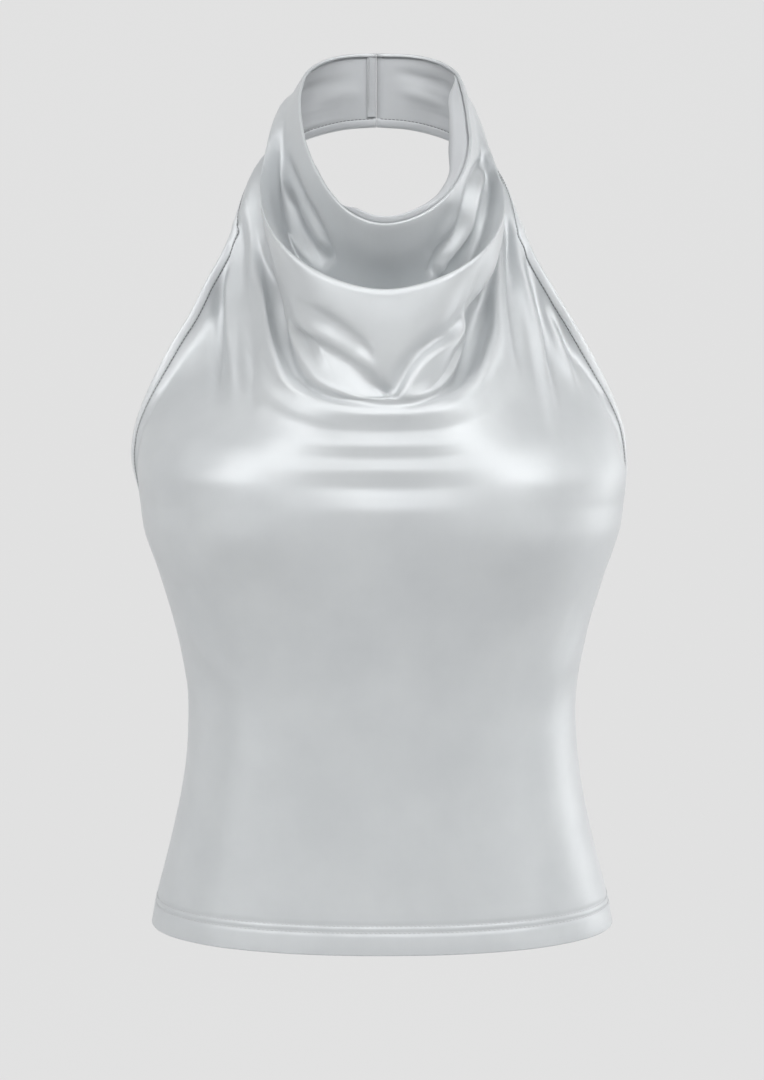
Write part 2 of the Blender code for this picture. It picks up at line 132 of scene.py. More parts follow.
# %% Soft light
Lamp = namedtuple("Lamp", "name place size power")
LAMPS = [
    Lamp("middle light", (0.0, -3.3, 2.9), (2.2, 1.4), 52),
    Lamp("upper left light", (-3.0, -2.5, 2.6), (2.2, 1.5), 80),
    Lamp("upper right light", (3.0, -2.5, 2.6), (2.2, 1.5), 86),
    Lamp("top light", (0.2, -1.7, 3.7), (1.6, 1.2), 22),
    Lamp("left light", (-3.2, 0.9, 0.0), (1.4, 2.4), 10),
    Lamp("right light", (3.0, 1.2, 0.0), (1.2, 2.4), 30),
    Lamp("low light", (-0.6, -3.4, -2.2), (3.4, 1.4), 174),
    Lamp("low left light", (-3.2, -2.3, -1.5), (1.6, 1.4), 44),
    Lamp("low right light", (3.2, -2.2, -1.4), (1.6, 1.4), 34),
]
MIDDLE_OF_TOP = (0, 0, -0.28)
LAMP_SPREAD = 160  # degrees over which a lamp shines

for row in LAMPS:
    lamp = bpy.data.lights.new(row.name, "AREA")
    lamp.shape = "RECTANGLE"
    lamp.size, lamp.size_y = row.size
    lamp.energy = row.power
    lamp.spread = math.radians(LAMP_SPREAD)
    aimed(bpy.data.objects.new(row.name, lamp), row.place, MIDDLE_OF_TOP)
world = bpy.data.worlds.new("studio air")
world.use_nodes = True
world.node_tree.nodes["Background"].inputs["Color"].default_value = (1, 1, 1, 1)
world.node_tree.nodes["Background"].inputs["Strength"].default_value = 0.04
bpy.context.scene.world = world
bpy.context.scene.view_settings.view_transform = "Standard"
print("lights:", ", ".join(row.name for row in LAMPS))

# %% [markdown]
# ## Satin
#
# The right side of the satin, its wrong side and the strips of it share one weave and one unevenness, each
# with its own values. So both are shader groups: small recipes with named inputs and outputs, made once
# and placed in every material that needs them. Two helpers make a group and the sums inside it.


# %% Helpers for shader groups
def new_group(name, inputs, outputs):
    group = bpy.data.node_groups.new(name, "ShaderNodeTree")
    for label, value in inputs.items():
        socket = group.interface.new_socket(label, in_out="INPUT", socket_type="NodeSocketFloat")
        socket.default_value = value
    for label in outputs:
        group.interface.new_socket(label, in_out="OUTPUT", socket_type="NodeSocketFloat")
    nodes = group.nodes
    return group, nodes, nodes.new("NodeGroupInput"), nodes.new("NodeGroupOutput")


def math_node(nodes, links, operation, *values):
    node = nodes.new("ShaderNodeMath")
    node.operation = operation
    for socket, value in zip(node.inputs, values):
        if isinstance(value, (int, float)):
            socket.default_value = value
        else:
            links.new(value, socket)
    return node.outputs[0]


print("helpers for groups are ready")

# %% [markdown]
# Satin is a weave whose threads float over several others before they dip under one. The floats lie
# close together and shine, and the dips are the only breaks. A brick pattern is the same figure: long
# bricks for the floats and short joints for the dips. It reads the piece's own UV map, in metres, so
# that the threads follow the cloth.


# %% Threads of the weave
def satin_threads():
    """Height of the threads, from the UV map in metres."""
    group, nodes, given, out = new_group("satin threads", {"Threads per metre": 3200}, ["Height"])
    links = group.links
    uv = nodes.new("ShaderNodeUVMap")
    uv.uv_map = "cloth"
    bricks = nodes.new("ShaderNodeTexBrick")
    bricks.offset = 0.4
    bricks.inputs["Color1"].default_value = (1, 1, 1, 1)
    bricks.inputs["Color2"].default_value = (0.86, 0.86, 0.86, 1)
    bricks.inputs["Mortar"].default_value = (0, 0, 0, 1)
    bricks.inputs["Mortar Size"].default_value = 0.16
    bricks.inputs["Mortar Smooth"].default_value = 0.8
    bricks.inputs["Brick Width"].default_value = 5
    bricks.inputs["Row Height"].default_value = 1
    links.new(uv.outputs["UV"], bricks.inputs["Vector"])
    links.new(given.outputs["Threads per metre"], bricks.inputs["Scale"])
    links.new(bricks.outputs["Color"], out.inputs["Height"])
    return group


threads = satin_threads()
print("group:", threads.name)

# %% [markdown]
# No length of cloth is quite even. A slow cloud, a few centimetres across, shifts its colour from place to
# place. Streaks along the threads, as fine as the threads themselves, break up its gloss.


# %% Unevenness of the cloth
def cloth_unevenness():
    """Slow changes over a length of cloth, around 0.5, and a fine streak along its threads."""
    group, nodes, given, out = new_group("cloth unevenness", {"Spots per metre": 22}, ["Cloud", "Streak"])
    links = group.links
    place = nodes.new("ShaderNodeTexCoord")
    cloud = nodes.new("ShaderNodeTexNoise")
    cloud.inputs["Detail"].default_value = 3
    cloud.inputs["Roughness"].default_value = 0.55
    links.new(place.outputs["Object"], cloud.inputs["Vector"])
    links.new(given.outputs["Spots per metre"], cloud.inputs["Scale"])
    links.new(cloud.outputs["Fac"], out.inputs["Cloud"])
    uv = nodes.new("ShaderNodeUVMap")
    uv.uv_map = "cloth"
    stretch = nodes.new("ShaderNodeMapping")
    stretch.inputs["Scale"].default_value = (900, 60, 1)
    streak = nodes.new("ShaderNodeTexNoise")
    streak.inputs["Scale"].default_value = 1
    streak.inputs["Detail"].default_value = 2
    links.new(uv.outputs["UV"], stretch.inputs["Vector"])
    links.new(stretch.outputs["Vector"], streak.inputs["Vector"])
    links.new(streak.outputs["Fac"], out.inputs["Streak"])
    return group


unevenness = cloth_unevenness()
print("group:", unevenness.name)

# %% [markdown]
# The right side of the satin is smooth and shines. The wrong side shows the backs of the threads, so it is
# duller and a little greyer. Both are one recipe with other values: a light colour that the slow
# unevenness shifts slightly, a gloss that the streaks vary, and the threads as a very low relief. The
# bindings are given a lighter colour: a painted highlight for the light that their tight fold catches
# along its crown.


# %% Right side, wrong side, bindings and facing
def satin(name, dark, light, gloss, metal, sheen, relief):
    """Satin between two close colours. gloss is its roughness, relief the height of its threads in mm."""
    made = bpy.data.materials.new(name)
    made.use_nodes = True
    nodes, links = made.node_tree.nodes, made.node_tree.links
    shader = nodes["Principled BSDF"]
    shader.inputs["Metallic"].default_value = metal
    shader.inputs["Specular IOR Level"].default_value = 0.5
    shader.inputs["Sheen Weight"].default_value = sheen
    shader.inputs["Sheen Roughness"].default_value = 0.45
    uneven = nodes.new("ShaderNodeGroup")
    uneven.node_tree = unevenness
    weave = nodes.new("ShaderNodeGroup")
    weave.node_tree = threads
    tint = nodes.new("ShaderNodeMix")
    tint.data_type = "RGBA"
    tint.inputs["A"].default_value = (*dark, 1)
    tint.inputs["B"].default_value = (*light, 1)
    links.new(uneven.outputs["Cloud"], tint.inputs["Factor"])
    links.new(tint.outputs["Result"], shader.inputs["Base Color"])
    streaked = math_node(nodes, links, "MULTIPLY_ADD", uneven.outputs["Streak"], 0.10, gloss - 0.05)
    links.new(streaked, shader.inputs["Roughness"])
    bump = nodes.new("ShaderNodeBump")
    bump.inputs["Strength"].default_value = 0.35
    bump.inputs["Distance"].default_value = relief * MM
    links.new(weave.outputs["Height"], bump.inputs["Height"])
    links.new(bump.outputs["Normal"], shader.inputs["Normal"])
    return made


right_side = satin("satin right side", (0.49, 0.51, 0.525), (0.59, 0.61, 0.62), 0.5, 0.3, 0.15, 0.02)
wrong_side = satin("satin wrong side", (0.42, 0.435, 0.45), (0.50, 0.515, 0.53), 0.62, 0.0, 0.3, 0.05)
# painted highlight: the bindings' satin is lighter than the cloth's, to stand for the light their crown
# catches
binding_satin_painted_highlight = satin("binding satin with painted highlight", (0.58, 0.60, 0.615), (0.66, 0.68, 0.69), 0.45, 0.15, 0.3, 0.03)
facing_satin = satin("satin of the facing", (0.44, 0.455, 0.47), (0.52, 0.535, 0.55), 0.5, 0.1, 0.3, 0.04)
print("cloths:", right_side.name, wrong_side.name, binding_satin_painted_highlight.name, facing_satin.name)

# %% [markdown]
# Sewing thread is two plies twisted round each other. Slanting bands of two close greys are enough for a
# thread half a millimetre wide. The bindings' thread is made nearly black: a painted shadow that draws the
# dark line of the ditch where their stitched edge sinks into the cloth.


# %% Sewing thread
def sewing_thread(name, dark, light):
    made = bpy.data.materials.new(name)
    made.use_nodes = True
    nodes, links = made.node_tree.nodes, made.node_tree.links
    yarn = nodes["Principled BSDF"]
    yarn.inputs["Roughness"].default_value = 0.55
    yarn.inputs["Sheen Weight"].default_value = 0.3
    twist = nodes.new("ShaderNodeTexWave")
    twist.inputs["Scale"].default_value = 900
    twist.bands_direction = "DIAGONAL"
    spot = nodes.new("ShaderNodeTexCoord")
    plies = nodes.new("ShaderNodeMix")
    plies.data_type = "RGBA"
    plies.inputs["A"].default_value = (*dark, 1)
    plies.inputs["B"].default_value = (*light, 1)
    links.new(spot.outputs["Object"], twist.inputs["Vector"])
    links.new(twist.outputs["Fac"], plies.inputs["Factor"])
    links.new(plies.outputs["Result"], yarn.inputs["Base Color"])
    return made


thread = sewing_thread("sewing thread", (0.38, 0.39, 0.40), (0.56, 0.57, 0.58))
# painted shadow: the binding thread is near black so that its stitches draw the shaded ditch along each
# binding
ditch_shadow_thread = sewing_thread("near-black thread for painted ditch shadow", (0.12, 0.125, 0.13), (0.2, 0.205, 0.21))
print("threads:", thread.name, ditch_shadow_thread.name)

# %% [markdown]
# ## The lines of the front cloth
#
# The front hangs between its two side edges like a set of swags, so it is described by its own guide
# lines, from the hem up to the free edge of the cowl. Each has a lowest point at the centre and a point
# at the edge, and a roundness: 1 for a V, 2 for an ellipse and more for a squarer U. Its lean says how
# early it comes forward, its roll how far it bulges in the middle, and its steps are the rows of the net
# up to the next guide. The values are in mm and start from those of the solids, so the dressed cloth
# lies where its solid lies.

# %% Guide lines from hem to rim
Guide = namedtuple("Guide", "name centre_y centre_z edge_x edge_y edge_z round lean roll steps")
FRONT = [
    Guide("hem", -114, -541, 151, -10, -540, 2.2, 1, 0, 4),
    Guide("hem_top", -112, -525, 148, -10, -524, 2.25, 1, 0, 2),
    Guide("hip", -109, -488, 138.5, -10, -488, 2.4, 1, 0, 3),
    Guide("belly", -107, -436, 128, -10, -435, 2.6, 1, 0, 3),
    Guide("waist", -110, -392, 126, -10, -389, 2.6, 1, 0, 3),
    Guide("ribs", -118, -348, 134, -10, -343, 2.6, 1, 0, 3),
    Guide("under_bust", -127, -311, 144, -10, -308, 2.6, 1, 0, 2),
    Guide("apex", -135, -277, 153, -10, -284, 2.6, 1, 0, 2),
    Guide("roll_5", -134.2, -263, 155.5, -10, -265, 2.6, 1, 2.4, 2),
    Guide("dip_4", -132.6, -248.5, 157, -18, -242, 2.6, 1, -0.4, 2),
    Guide("roll_4", -131.5, -239, 153, -29, -215, 2.6, 1.3, 1.8, 2),
    Guide("dip_3", -130.6, -230.5, 142, -35, -188, 2.6, 1.6, 0.4, 2),
    Guide("roll_3", -129.8, -223.5, 127, -33, -160, 2.7, 1.9, 1.2, 2),
    Guide("dip_2", -128.8, -214.5, 108, -26, -128, 2.8, 2.0, -0.6, 3),
    Guide("shoulder", -128.2, -209, 92.5, -14, -94, 3, 1.6, 0.4, 1),
    Guide("roll_2", -127.7, -204.5, 87, -6, -74, 3, 1.4, 1.6, 2),
    Guide("groove", -126.8, -198, 82.5, -2, -66, 3, 1.3, 0, 1),
    Guide("lip", -126.8, -194, 79, 0, -59, 2.5, 1.2, 0.8, 2),
    Guide("pleat_edge", -126.5, -188.5, 77.5, 0, -55, 2.1, 1, 0, 1),
    Guide("pleat_fold", -125.5, -181, 75.5, 0, -49, 2.0, 1, 0, 3),
    Guide("pouch_face", -124.8, -157, 73, 0, -42, 1.9, 1, 0, 2),
    Guide("crest_face", -121.5, -134.5, 69, -0.5, -34, 2.05, 1, 0, 2),
    Guide("pouch_top", -118.5, -128, 68, -1, -31, 2.1, 1, 0, 3),
    Guide("pocket", -60, -148, 62, -3, -23, 2.1, 1.4, 0, 3),
    Guide("inner_face", -76, -114, 58, -4, -16, 2.0, 1.2, 0, 2),
    Guide("rim", -91, -89.5, 55, -5, -10, 2.0, 1, 0, 0),
]
UNDER_ARM = "roll_5"  # the side seams end at this guide
STRAP_FOOT = "shoulder"  # the guides from here up run on round the back of the neck
SEAM_Y = -10  # the side seams lie in this plane
CENTRE_X = 2  # how far the cowl hangs to the right of the middle
ROLL_REACH = 62  # half the width of the rolls below the cowl
print(len(FRONT), "guide lines")

# %% [markdown]
# A hanging cloth is never the same on both sides. This table says where one side of a guide line hangs
# otherwise than the other: moved out or up at its edge, with a fuller flank, or pushed forward.

# %% What differs from side to side
Flank = namedtuple("Flank", "guide side out up belly push at")
FLANKS = [
    Flank("shoulder", "left", 3, 2, 0, 0, 45),
    Flank("shoulder", "right", -3, -1, 0, 0, 45),
    Flank("roll_2", "left", 0, 8, -3, 0, 45),
    Flank("roll_2", "right", -3, -8, -5, 0, 45),
    Flank("groove", "left", -5, 9, -3, -7, 55),
    Flank("groove", "right", -6, -9, -11, -7, 50),
    Flank("lip", "left", -2.5, 9, -4, 3, 45),
    Flank("lip", "right", -3.5, -8, -10, 0, 45),
    Flank("pleat_edge", "left", -2, 7, 0, 5, 40),
    Flank("pleat_edge", "right", -3, -7, -2, 0, 35),
    Flank("pleat_fold", "left", -1, 7, 4, 5, 40),
    Flank("pleat_fold", "right", -3, -7, 4, 0, 35),
    Flank("pouch_face", "left", 1, 4, 10, 4, 40),
    Flank("pouch_face", "right", -2, -5, 13, 0, 45),
    Flank("crest_face", "left", 4, 2, 12, 4, 42),
    Flank("crest_face", "right", -1, -3, 16, 2.5, 45),
    Flank("pouch_top", "left", 4, 2, 13, 2.5, 45),
    Flank("pouch_top", "right", -1, -3, 17, 1, 45),
    Flank("pocket", "left", 2, 0, 7, 0, 45),
    Flank("pocket", "right", -1, 0, 11, 16, 60),
    Flank("inner_face", "left", 1, 0, 2, 0, 45),
    Flank("inner_face", "right", 0, 0, 8, 8, 60),
    Flank("rim", "left", 0, 0, -2, 0, 45),
    Flank("rim", "right", 0, 0, 6, 0, 45),
]
print(len(FLANKS), "flanks hang otherwise than the plain guide line")

# %% [markdown]
# A point of a guide line is found by an angle, from -90 at its left end over 0 at its lowest point to 90.
# Sine and cosine, each raised to a power that the roundness gives, draw the curve. The flank is then
# moved, and rolls bulge in the middle.


# %% A point of a guide line
def flank_of(guide, side):
    for flank in FLANKS:
        if flank.guide == guide.name and flank.side == side:
            return flank
    return Flank(guide.name, side, 0, 0, 0, 0, 45)


def bump(distance, width):
    """A soft mound, 1 at the middle and almost 0 at twice the width."""
    return math.exp(-((distance / width) ** 2))


def swag(guide, angle):
    """The point of a guide line at an angle, from -90 at its left end over 0 at its centre to 90."""
    a = math.radians(abs(angle))
    sign = -1 if angle < 0 else 1
    flank = flank_of(guide, "left" if angle < 0 else "right")
    power = 2 / guide.round
    drop = max(0.0, math.cos(a)) ** power
    x = (guide.edge_x + flank.out) * math.sin(a) ** power
    x += flank.belly * 2.6 * math.sin(a) ** 2 * math.cos(a)
    y = guide.edge_y + (guide.centre_y - guide.edge_y) * drop**guide.lean
    y -= flank.push * bump(abs(angle) - flank.at, 20) * min(1.0, abs(angle) / 15)
    y -= guide.roll * bump(x, ROLL_REACH) ** 2
    edge_z = guide.edge_z + flank.up
    z = edge_z + (guide.centre_z - edge_z) * drop
    return Vector((sign * x, y, z))


print("lowest point of the rim:", swag(FRONT[-1], 0)[:])

# %% [markdown]
# Between the guide lines the cloth is a smooth surface. A curve through four points in a row, with more
# room where the points are far apart, follows folds without overshooting. It is used twice: up each
# column of points from guide to guide, and later along each row, to make a coarse net into a fine one.


# %% Smooth curves between points
def through(p, t, now):
    """The point at now of the curve that passes its four points p at the values t."""

    def mix(a, b, start, end):
        return a * ((end - now) / (end - start)) + b * ((now - start) / (end - start))

    first = [mix(p[i], p[i + 1], t[i], t[i + 1]) for i in range(3)]
    second = [mix(first[i], first[i + 1], t[i], t[i + 2]) for i in range(2)]
    return mix(second[0], second[1], t[1], t[2])


def spline(points, steps):
    """Points on a smooth curve through the given points, with steps[k] parts after point k."""
    ends = [2 * points[0] - points[1], *points, 2 * points[-1] - points[-2]]
    out = []
    for k in range(len(points) - 1):
        p = ends[k : k + 4]
        t = [0.0]
        for i in range(3):
            t.append(t[-1] + max(1e-6, (p[i + 1] - p[i]).length) ** 0.5)
        for step in range(steps[k]):
            out.append(through(p, t, t[1] + (t[2] - t[1]) * step / steps[k]))
    return [*out, points[-1].copy()]


COLUMNS = 18  # net columns from the centre front to one edge
BAND_COLUMNS = 8  # net columns from the side of the neck to the seam behind it


def angles(columns):
    half = [90 * (k / columns) ** 1.15 for k in range(1, columns + 1)]
    return [*[-angle for angle in reversed(half)], 0, *half]


def row_of(name):
    """The net row on which a guide of the front lies."""
    names = [guide.name for guide in FRONT]
    return sum(guide.steps for guide in FRONT[: names.index(name)])


def front_net():
    steps = [guide.steps for guide in FRONT]
    columns = [spline([swag(guide, angle) for guide in FRONT], steps) for angle in angles(COLUMNS)]
    rows = [list(row) for row in zip(*columns)]
    for row in rows[: row_of(UNDER_ARM) + 1]:
        row[0].y = row[-1].y = SEAM_Y
    first = row_of("dip_2")
    for k, row in enumerate(rows):
        shift = CENTRE_X * min(1.0, max(0.0, (k - first) / 4))
        for point, angle in zip(row, angles(COLUMNS)):
            point.x += shift * math.cos(math.radians(angle))
    return rows


torso = front_net()
print("net of the front:", len(torso), "rows of", len(torso[0]), "points")

# %% [markdown]
# ## The band behind the neck
#
# From the shoulders up, every row of the cloth runs on round the neck, and the two sides meet in a seam a
# little to the left of the middle. The rows come together like a fan: far apart in the cowl and a
# band's width apart at the seam. The bend at the side of the neck is then smoothed.

# %% Rows round the neck
NECK_SEAM_X = -3.5
NECK_SEAM_Y = 58
NECK_SEAM_TOP = 26
NECK_SEAM_FOOT = -20.5
SEAM_GAP = 0.3


def band_point(start, share, turn):
    """A point of the band: start is its point at the side of the neck, and turn goes to 90."""
    a = math.radians(turn)
    seam_z = NECK_SEAM_FOOT + (NECK_SEAM_TOP - NECK_SEAM_FOOT) * share
    across = max(0.0, math.cos(a)) ** (1 - 0.3 * share)
    x = NECK_SEAM_X + (start.x - NECK_SEAM_X) * across
    y = start.y + (NECK_SEAM_Y - start.y) * math.sin(a) ** (0.9 - 0.1 * share)
    z = start.z + (seam_z - start.z) * math.sin(a) ** (0.87 - 0.22 * share)
    return Vector((x, y, z))


def eased(row, strength):
    """The row with its two bends at the sides of the neck smoothed."""
    for _ in range(3):
        now = [point.copy() for point in row]
        for bend in (BAND_COLUMNS, len(row) - 1 - BAND_COLUMNS):
            for i in range(bend - 2, bend + 3):
                smooth = (now[i - 1] + 2 * now[i] + now[i + 1]) / 4
                row[i] = now[i].lerp(smooth, strength)
    return row


def with_bands(rows):
    foot, last = row_of(STRAP_FOOT), len(rows) - 1
    out = [list(row) for row in rows]
    turns = [90 * (c / BAND_COLUMNS) ** 1.2 for c in range(1, BAND_COLUMNS + 1)]
    for k in range(foot, last + 1):
        share = (k - foot) / (last - foot)
        left = [band_point(rows[k][0], share, turn) for turn in turns]
        right = [band_point(rows[k][-1], share, turn) for turn in turns]
        left[-1].x -= SEAM_GAP / 2
        right[-1].x += SEAM_GAP / 2
        out[k] = eased([*reversed(left), *rows[k], *right], min(1.0, share * 6))
    return out


net = with_bands(torso)
print("a row of the cowl now has", len(net[-1]), "points")

# %% [markdown]
# The armhole edge climbs from the side seam and turns back below the band. A real edge is cut there in
# one sweep, so the corner is rounded by moving its points towards the middle of their neighbours.


# %% Round corners at the armholes
def armhole_edge(rows, first, foot):
    """Points along one armhole edge, from the side seam up and along the foot of the band."""
    return [*[row[0] for row in rows[first:foot]], *reversed(rows[foot][: BAND_COLUMNS + 1])]


def round_corners(rows):
    first, foot = row_of(UNDER_ARM), row_of(STRAP_FOOT)
    corner = foot - first
    for side in (rows, [row[::-1] for row in rows]):
        edge = armhole_edge(side, first, foot)
        for _ in range(4):
            now = [point.copy() for point in edge]
            for i in range(corner - 3, corner + 4):
                edge[i].xyz = (now[i - 1] + 2 * now[i] + now[i + 1]) / 4


round_corners(net)
corner_point = net[row_of(STRAP_FOOT)][BAND_COLUMNS]
print("the left armhole turns at", [round(v) for v in corner_point])

# %% [markdown]
# ## A finer net
#
# Folds a few millimetres wide need points every millimetre or two. The net is refined along its rows and
# then up its columns. The columns of the band only exist from the foot of the strap upwards.

# %% Four parts to each part of the net
FINE = 4


def refined(rows, foot):
    """The net with FINE parts for each of its parts. Rows from foot on may be longer at both ends."""
    along = [spline(row, [FINE] * (len(row) - 1)) for row in rows]
    extra = (len(along[foot]) - len(along[0])) // 2
    width = len(along[foot])
    columns = []
    for i in range(width):
        if extra <= i < width - extra:
            points = [row[i - extra] if k < foot else row[i] for k, row in enumerate(along)]
            columns.append(spline(points, [FINE] * (len(points) - 1)))
        else:
            points = [row[i] for row in along[foot:]]
            columns.append([None] * (foot * FINE) + spline(points, [FINE] * (len(points) - 1)))
    return [list(row) for row in zip(*columns)], extra


fine, BAND = refined(net, row_of(STRAP_FOOT))
WIDTH = len(fine[0])
print("fine net:", len(fine), "rows,", WIDTH, "columns,", BAND, "of them in each side of the band")


# %% [markdown]
# A normal says which way the cloth faces at a point. It is square to the steps along the row and up the
# column. On a seam it is kept in the plane of the seam, so that two pieces meet there edge to edge.

# %% Which way the cloth faces
def across(rows, k, i):
    """The steps along the row and up the column at a point of a net."""
    row = rows[k]
    left = row[i - 1] if i > 0 and row[i - 1] else row[i]
    right = row[i + 1] if i + 1 < len(row) and row[i + 1] else row[i]
    low = rows[k - 1][i] if k > 0 and rows[k - 1][i] else row[i]
    high = rows[k + 1][i] if k + 1 < len(rows) and rows[k + 1][i] else row[i]
    return right - left, high - low


def net_normals(rows, seams=()):
    """The outward normal at each point of a net. seams are columns whose normals stay in the plane of
    a seam, each with the axis across that plane."""
    out = []
    for k, row in enumerate(rows):
        normals = []
        for i, point in enumerate(row):
            if point is None:
                normals.append(None)
                continue
            along, up = across(rows, k, i)
            normals.append(along.cross(up).normalized())
        out.append(normals)
    for column, axis, first, last in seams:
        for k in range(first, last):
            normal = out[k][column]
            normal[axis] = 0
            normal.normalize()
    return out


print("normals of the hem's middle:", [round(v, 2) for v in net_normals(fine[:2])[0][WIDTH // 2]])

# %% [markdown]
# ## Folds and creases
#
# Folds are soft ridges and troughs laid over the smooth cloth. Each is a short curve, seen from the front,
# from its top to its foot. It lifts the cloth along its curve, or sinks it where the lift is negative,
# falls off to the left and to the right over its own two widths, and fades at both ends. A narrow side
# and a wide side make a lip, and equal sides make a roll. The last number is the share of its length over
# which it fades at its foot: small where a fold ends at once, as at the tip of the tongue. A zone keeps a
# fold to one part of the cloth, because the cowl hangs in front of the chest.
#
# They are laid from this table and not by a cloth simulation, because a simulation finds folds of
# its own, and these are the particular ones of a cowl that hangs from two uneven shoulders.

# %% Folds of the straps, the band and the inner face
Crease = namedtuple("Crease", "zone lift left right path foot", defaults=(0.35,))
CREASES = [
    # the straps: folds that fan out from the sides of the neck
    Crease("chest", -3.6, 3.0, 3.5, ((-93, -76), (-90, -104), (-87, -140))),
    Crease("chest", 4.4, 3.0, 3.4, ((-97, -100), (-97, -135), (-94.5, -170), (-92, -214)), 0.5),
    Crease("chest", -4.8, 3.0, 2.8, ((-103, -108), (-104.5, -145), (-103.5, -185), (-103, -212)), 0.6),
    Crease("chest", -4.8, 3.2, 3.0, ((-88, -108), (-85, -135), (-81, -170), (-79, -215)), 0.6),
    Crease("chest", 2.4, 2.5, 2.5, ((-86, -100), (-85, -132), (-82, -172))),
    Crease("chest", 3.0, 3.0, 3.0, ((75, -80), (73, -130), (72, -186))),
    Crease(
        "chest", -5.6, 3.0, 2.8,
        ((80.5, -72), (81.5, -95), (82.5, -121), (84.5, -164), (87, -190)), 0.5,
    ),
    Crease("chest", 5.0, 2.8, 3.4, ((87, -92), (90, -121), (97, -158), (104, -200), (107, -228)), 0.5),
    Crease("chest", -3.2, 2.6, 3.0, ((96, -118), (104, -153), (107.5, -178), (112, -206)), 0.5),
    Crease("chest", 3.4, 2.8, 3.0, ((105, -132), (113, -162), (119, -182), (127, -206)), 0.5),
    Crease("chest", -2.0, 2.6, 3.0, ((112, -136), (120, -162), (126, -184)), 0.5),
    # the band behind the neck
    Crease("right band", 1.6, 4.0, 4.0, ((6, 16), (26, 11), (52, 4))),
    Crease("right band", -1.5, 4.0, 4.0, ((10, 4), (30, -3), (48, -10))),
    Crease("left band", -1.0, 5.0, 5.0, ((-8, 2), (-28, 0), (-48, -8))),
    # the inner face of the cowl
    Crease("inner", 1.8, 2.2, 2.2, ((-68, -38), (-67, -64), (-63, -86), (-57, -97), (-46, -110)), 0.1),
    Crease(
        "inner", -7.0, 3.0, 5.0,
        ((-65, -56), (-60, -75), (-55, -89), (-47, -102), (-32, -116)), 0.1,
    ),
    Crease(
        "inner", -4.2, 2.8, 2.2,
        ((-64, -36), (-56, -56), (-51, -70), (-45, -80), (-40, -90), (-35, -100), (-31, -114)), 0.1,
    ),
    Crease(
        "inner", -5.0, 2.4, 2.6,
        ((68, -40), (63, -48), (57, -62), (53, -77), (49, -91), (38, -105), (29, -120)), 0.04,
    ),
    Crease(
        "inner", 4.0, 1.3, 2.0,
        ((66, -50), (63.5, -56), (60.5, -64), (57.5, -78), (53.5, -92), (43, -106), (34, -119)), 0.04,
    ),
    Crease(
        "inner", -2.2, 2.0, 5.0,
        ((74, -46), (69, -56), (64.5, -68), (61.5, -81), (57.5, -95), (47, -109), (38, -121)), 0.1,
    ),
    Crease("inner", -1.4, 5.0, 5.0, ((44, -74), (38, -90), (29, -110)), 0.1),
]
print(len(CREASES), "folds from the neck")

# %% [markdown]
# The cowl's own weight gathers it into a pouch. A groove runs round under the pouch, with a ridge outside
# it, and a pointed tongue of cloth hangs over its middle, with a full lobe on each side. At the waist the
# cloth is slack along the side seams, which leaves a few low, slanting folds there.

# %% Folds of the pouch and the waist
CREASES += [
    # the groove round the pouch and the ridge outside it
    Crease(
        "groove", -8.0, 5.0, 2.0,
        ((-83, -86), (-76, -108), (-70.5, -122), (-66.5, -134.5), (-63, -150), (-60, -162.5),
         (-54, -177), (-44, -186)), 0.5,
    ),
    Crease(
        "groove", -4.2, 2.8, 1.8,
        ((-61, -160), (-55, -177), (-46, -186), (-32, -192.5), (-10, -196), (4, -197.5)), 0.4,
    ),
    Crease(
        "groove", -6.5, 2.2, 5.5,
        ((65, -104), (59.5, -130), (57, -147), (55, -163), (50.5, -176.5), (42, -186.5),
         (22, -196.5)), 0.5,
    ),
    Crease(
        "groove", -3.2, 2.0, 3.0,
        ((56, -160), (51, -176.5), (42, -187), (20, -196.5), (2, -198)), 0.4,
    ),
    Crease(
        "groove", 4.6, 2.6, 2.6,
        ((-81, -108), (-75.5, -131), (-71.5, -154), (-66.5, -170), (-58, -186), (-40, -195)), 0.4,
    ),
    Crease(
        "groove", 5.5, 3.6, 3.6,
        ((73, -100), (70, -130), (70.5, -150), (68, -166), (60, -184), (44, -195)), 0.4,
    ),
    # the tongue and the lobes of the pouch
    Crease(
        "pouch", -6.5, 12.0, 4.4,
        ((-66, -146), (-56, -156), (-35, -166), (-13, -179), (4, -194)), 0.04,
    ),
    Crease(
        "pouch", -4.8, 12.0, 3.4,
        ((-62, -132), (-36, -145), (-22.5, -153.5), (-10.5, -164), (-3, -178)),
    ),
    Crease(
        "pouch", 1.2, 2.6, 6.0,
        ((-64, -150), (-58, -166), (-50, -178), (-42, -183.5), (-28, -187.5), (-6, -192)), 0.3,
    ),
    Crease(
        "pouch", -6.5, 8.0, 3.0,
        ((60, -104), (55.5, -131), (52, -146), (46, -154.5), (35.5, -160), (24.5, -167.5),
         (17, -176), (9.5, -187), (5, -194)), 0.04,
    ),
    Crease(
        "pouch", 1.2, 2.2, 5.0,
        ((64, -112), (58, -132), (55.5, -147), (48.5, -157), (38.5, -163), (27.5, -170),
         (20, -178), (13, -188), (7, -195)), 0.1,
    ),
    Crease(
        "pouch", -2.8, 9.0, 4.0,
        ((60, -140), (54, -163), (48, -176), (37, -186), (14, -192.5)), 0.3,
    ),
    # the waist
    Crease("waist", -0.9, 6.0, 6.0, ((-128, -300), (-118, -328), (-102, -350))),
    Crease("waist", 0.8, 6.0, 6.0, ((-126, -330), (-114, -352), (-98, -372))),
    Crease("waist", -0.8, 6.0, 7.0, ((-122, -352), (-109, -378), (-92, -398))),
    Crease("waist", -0.9, 6.0, 6.0, ((128, -312), (118, -344), (106, -372))),
    Crease("waist", 0.8, 6.0, 6.0, ((124, -342), (113, -372), (100, -398))),
    Crease("waist", -0.7, 7.0, 6.0, ((122, -366), (111, -396), (96, -420))),
]
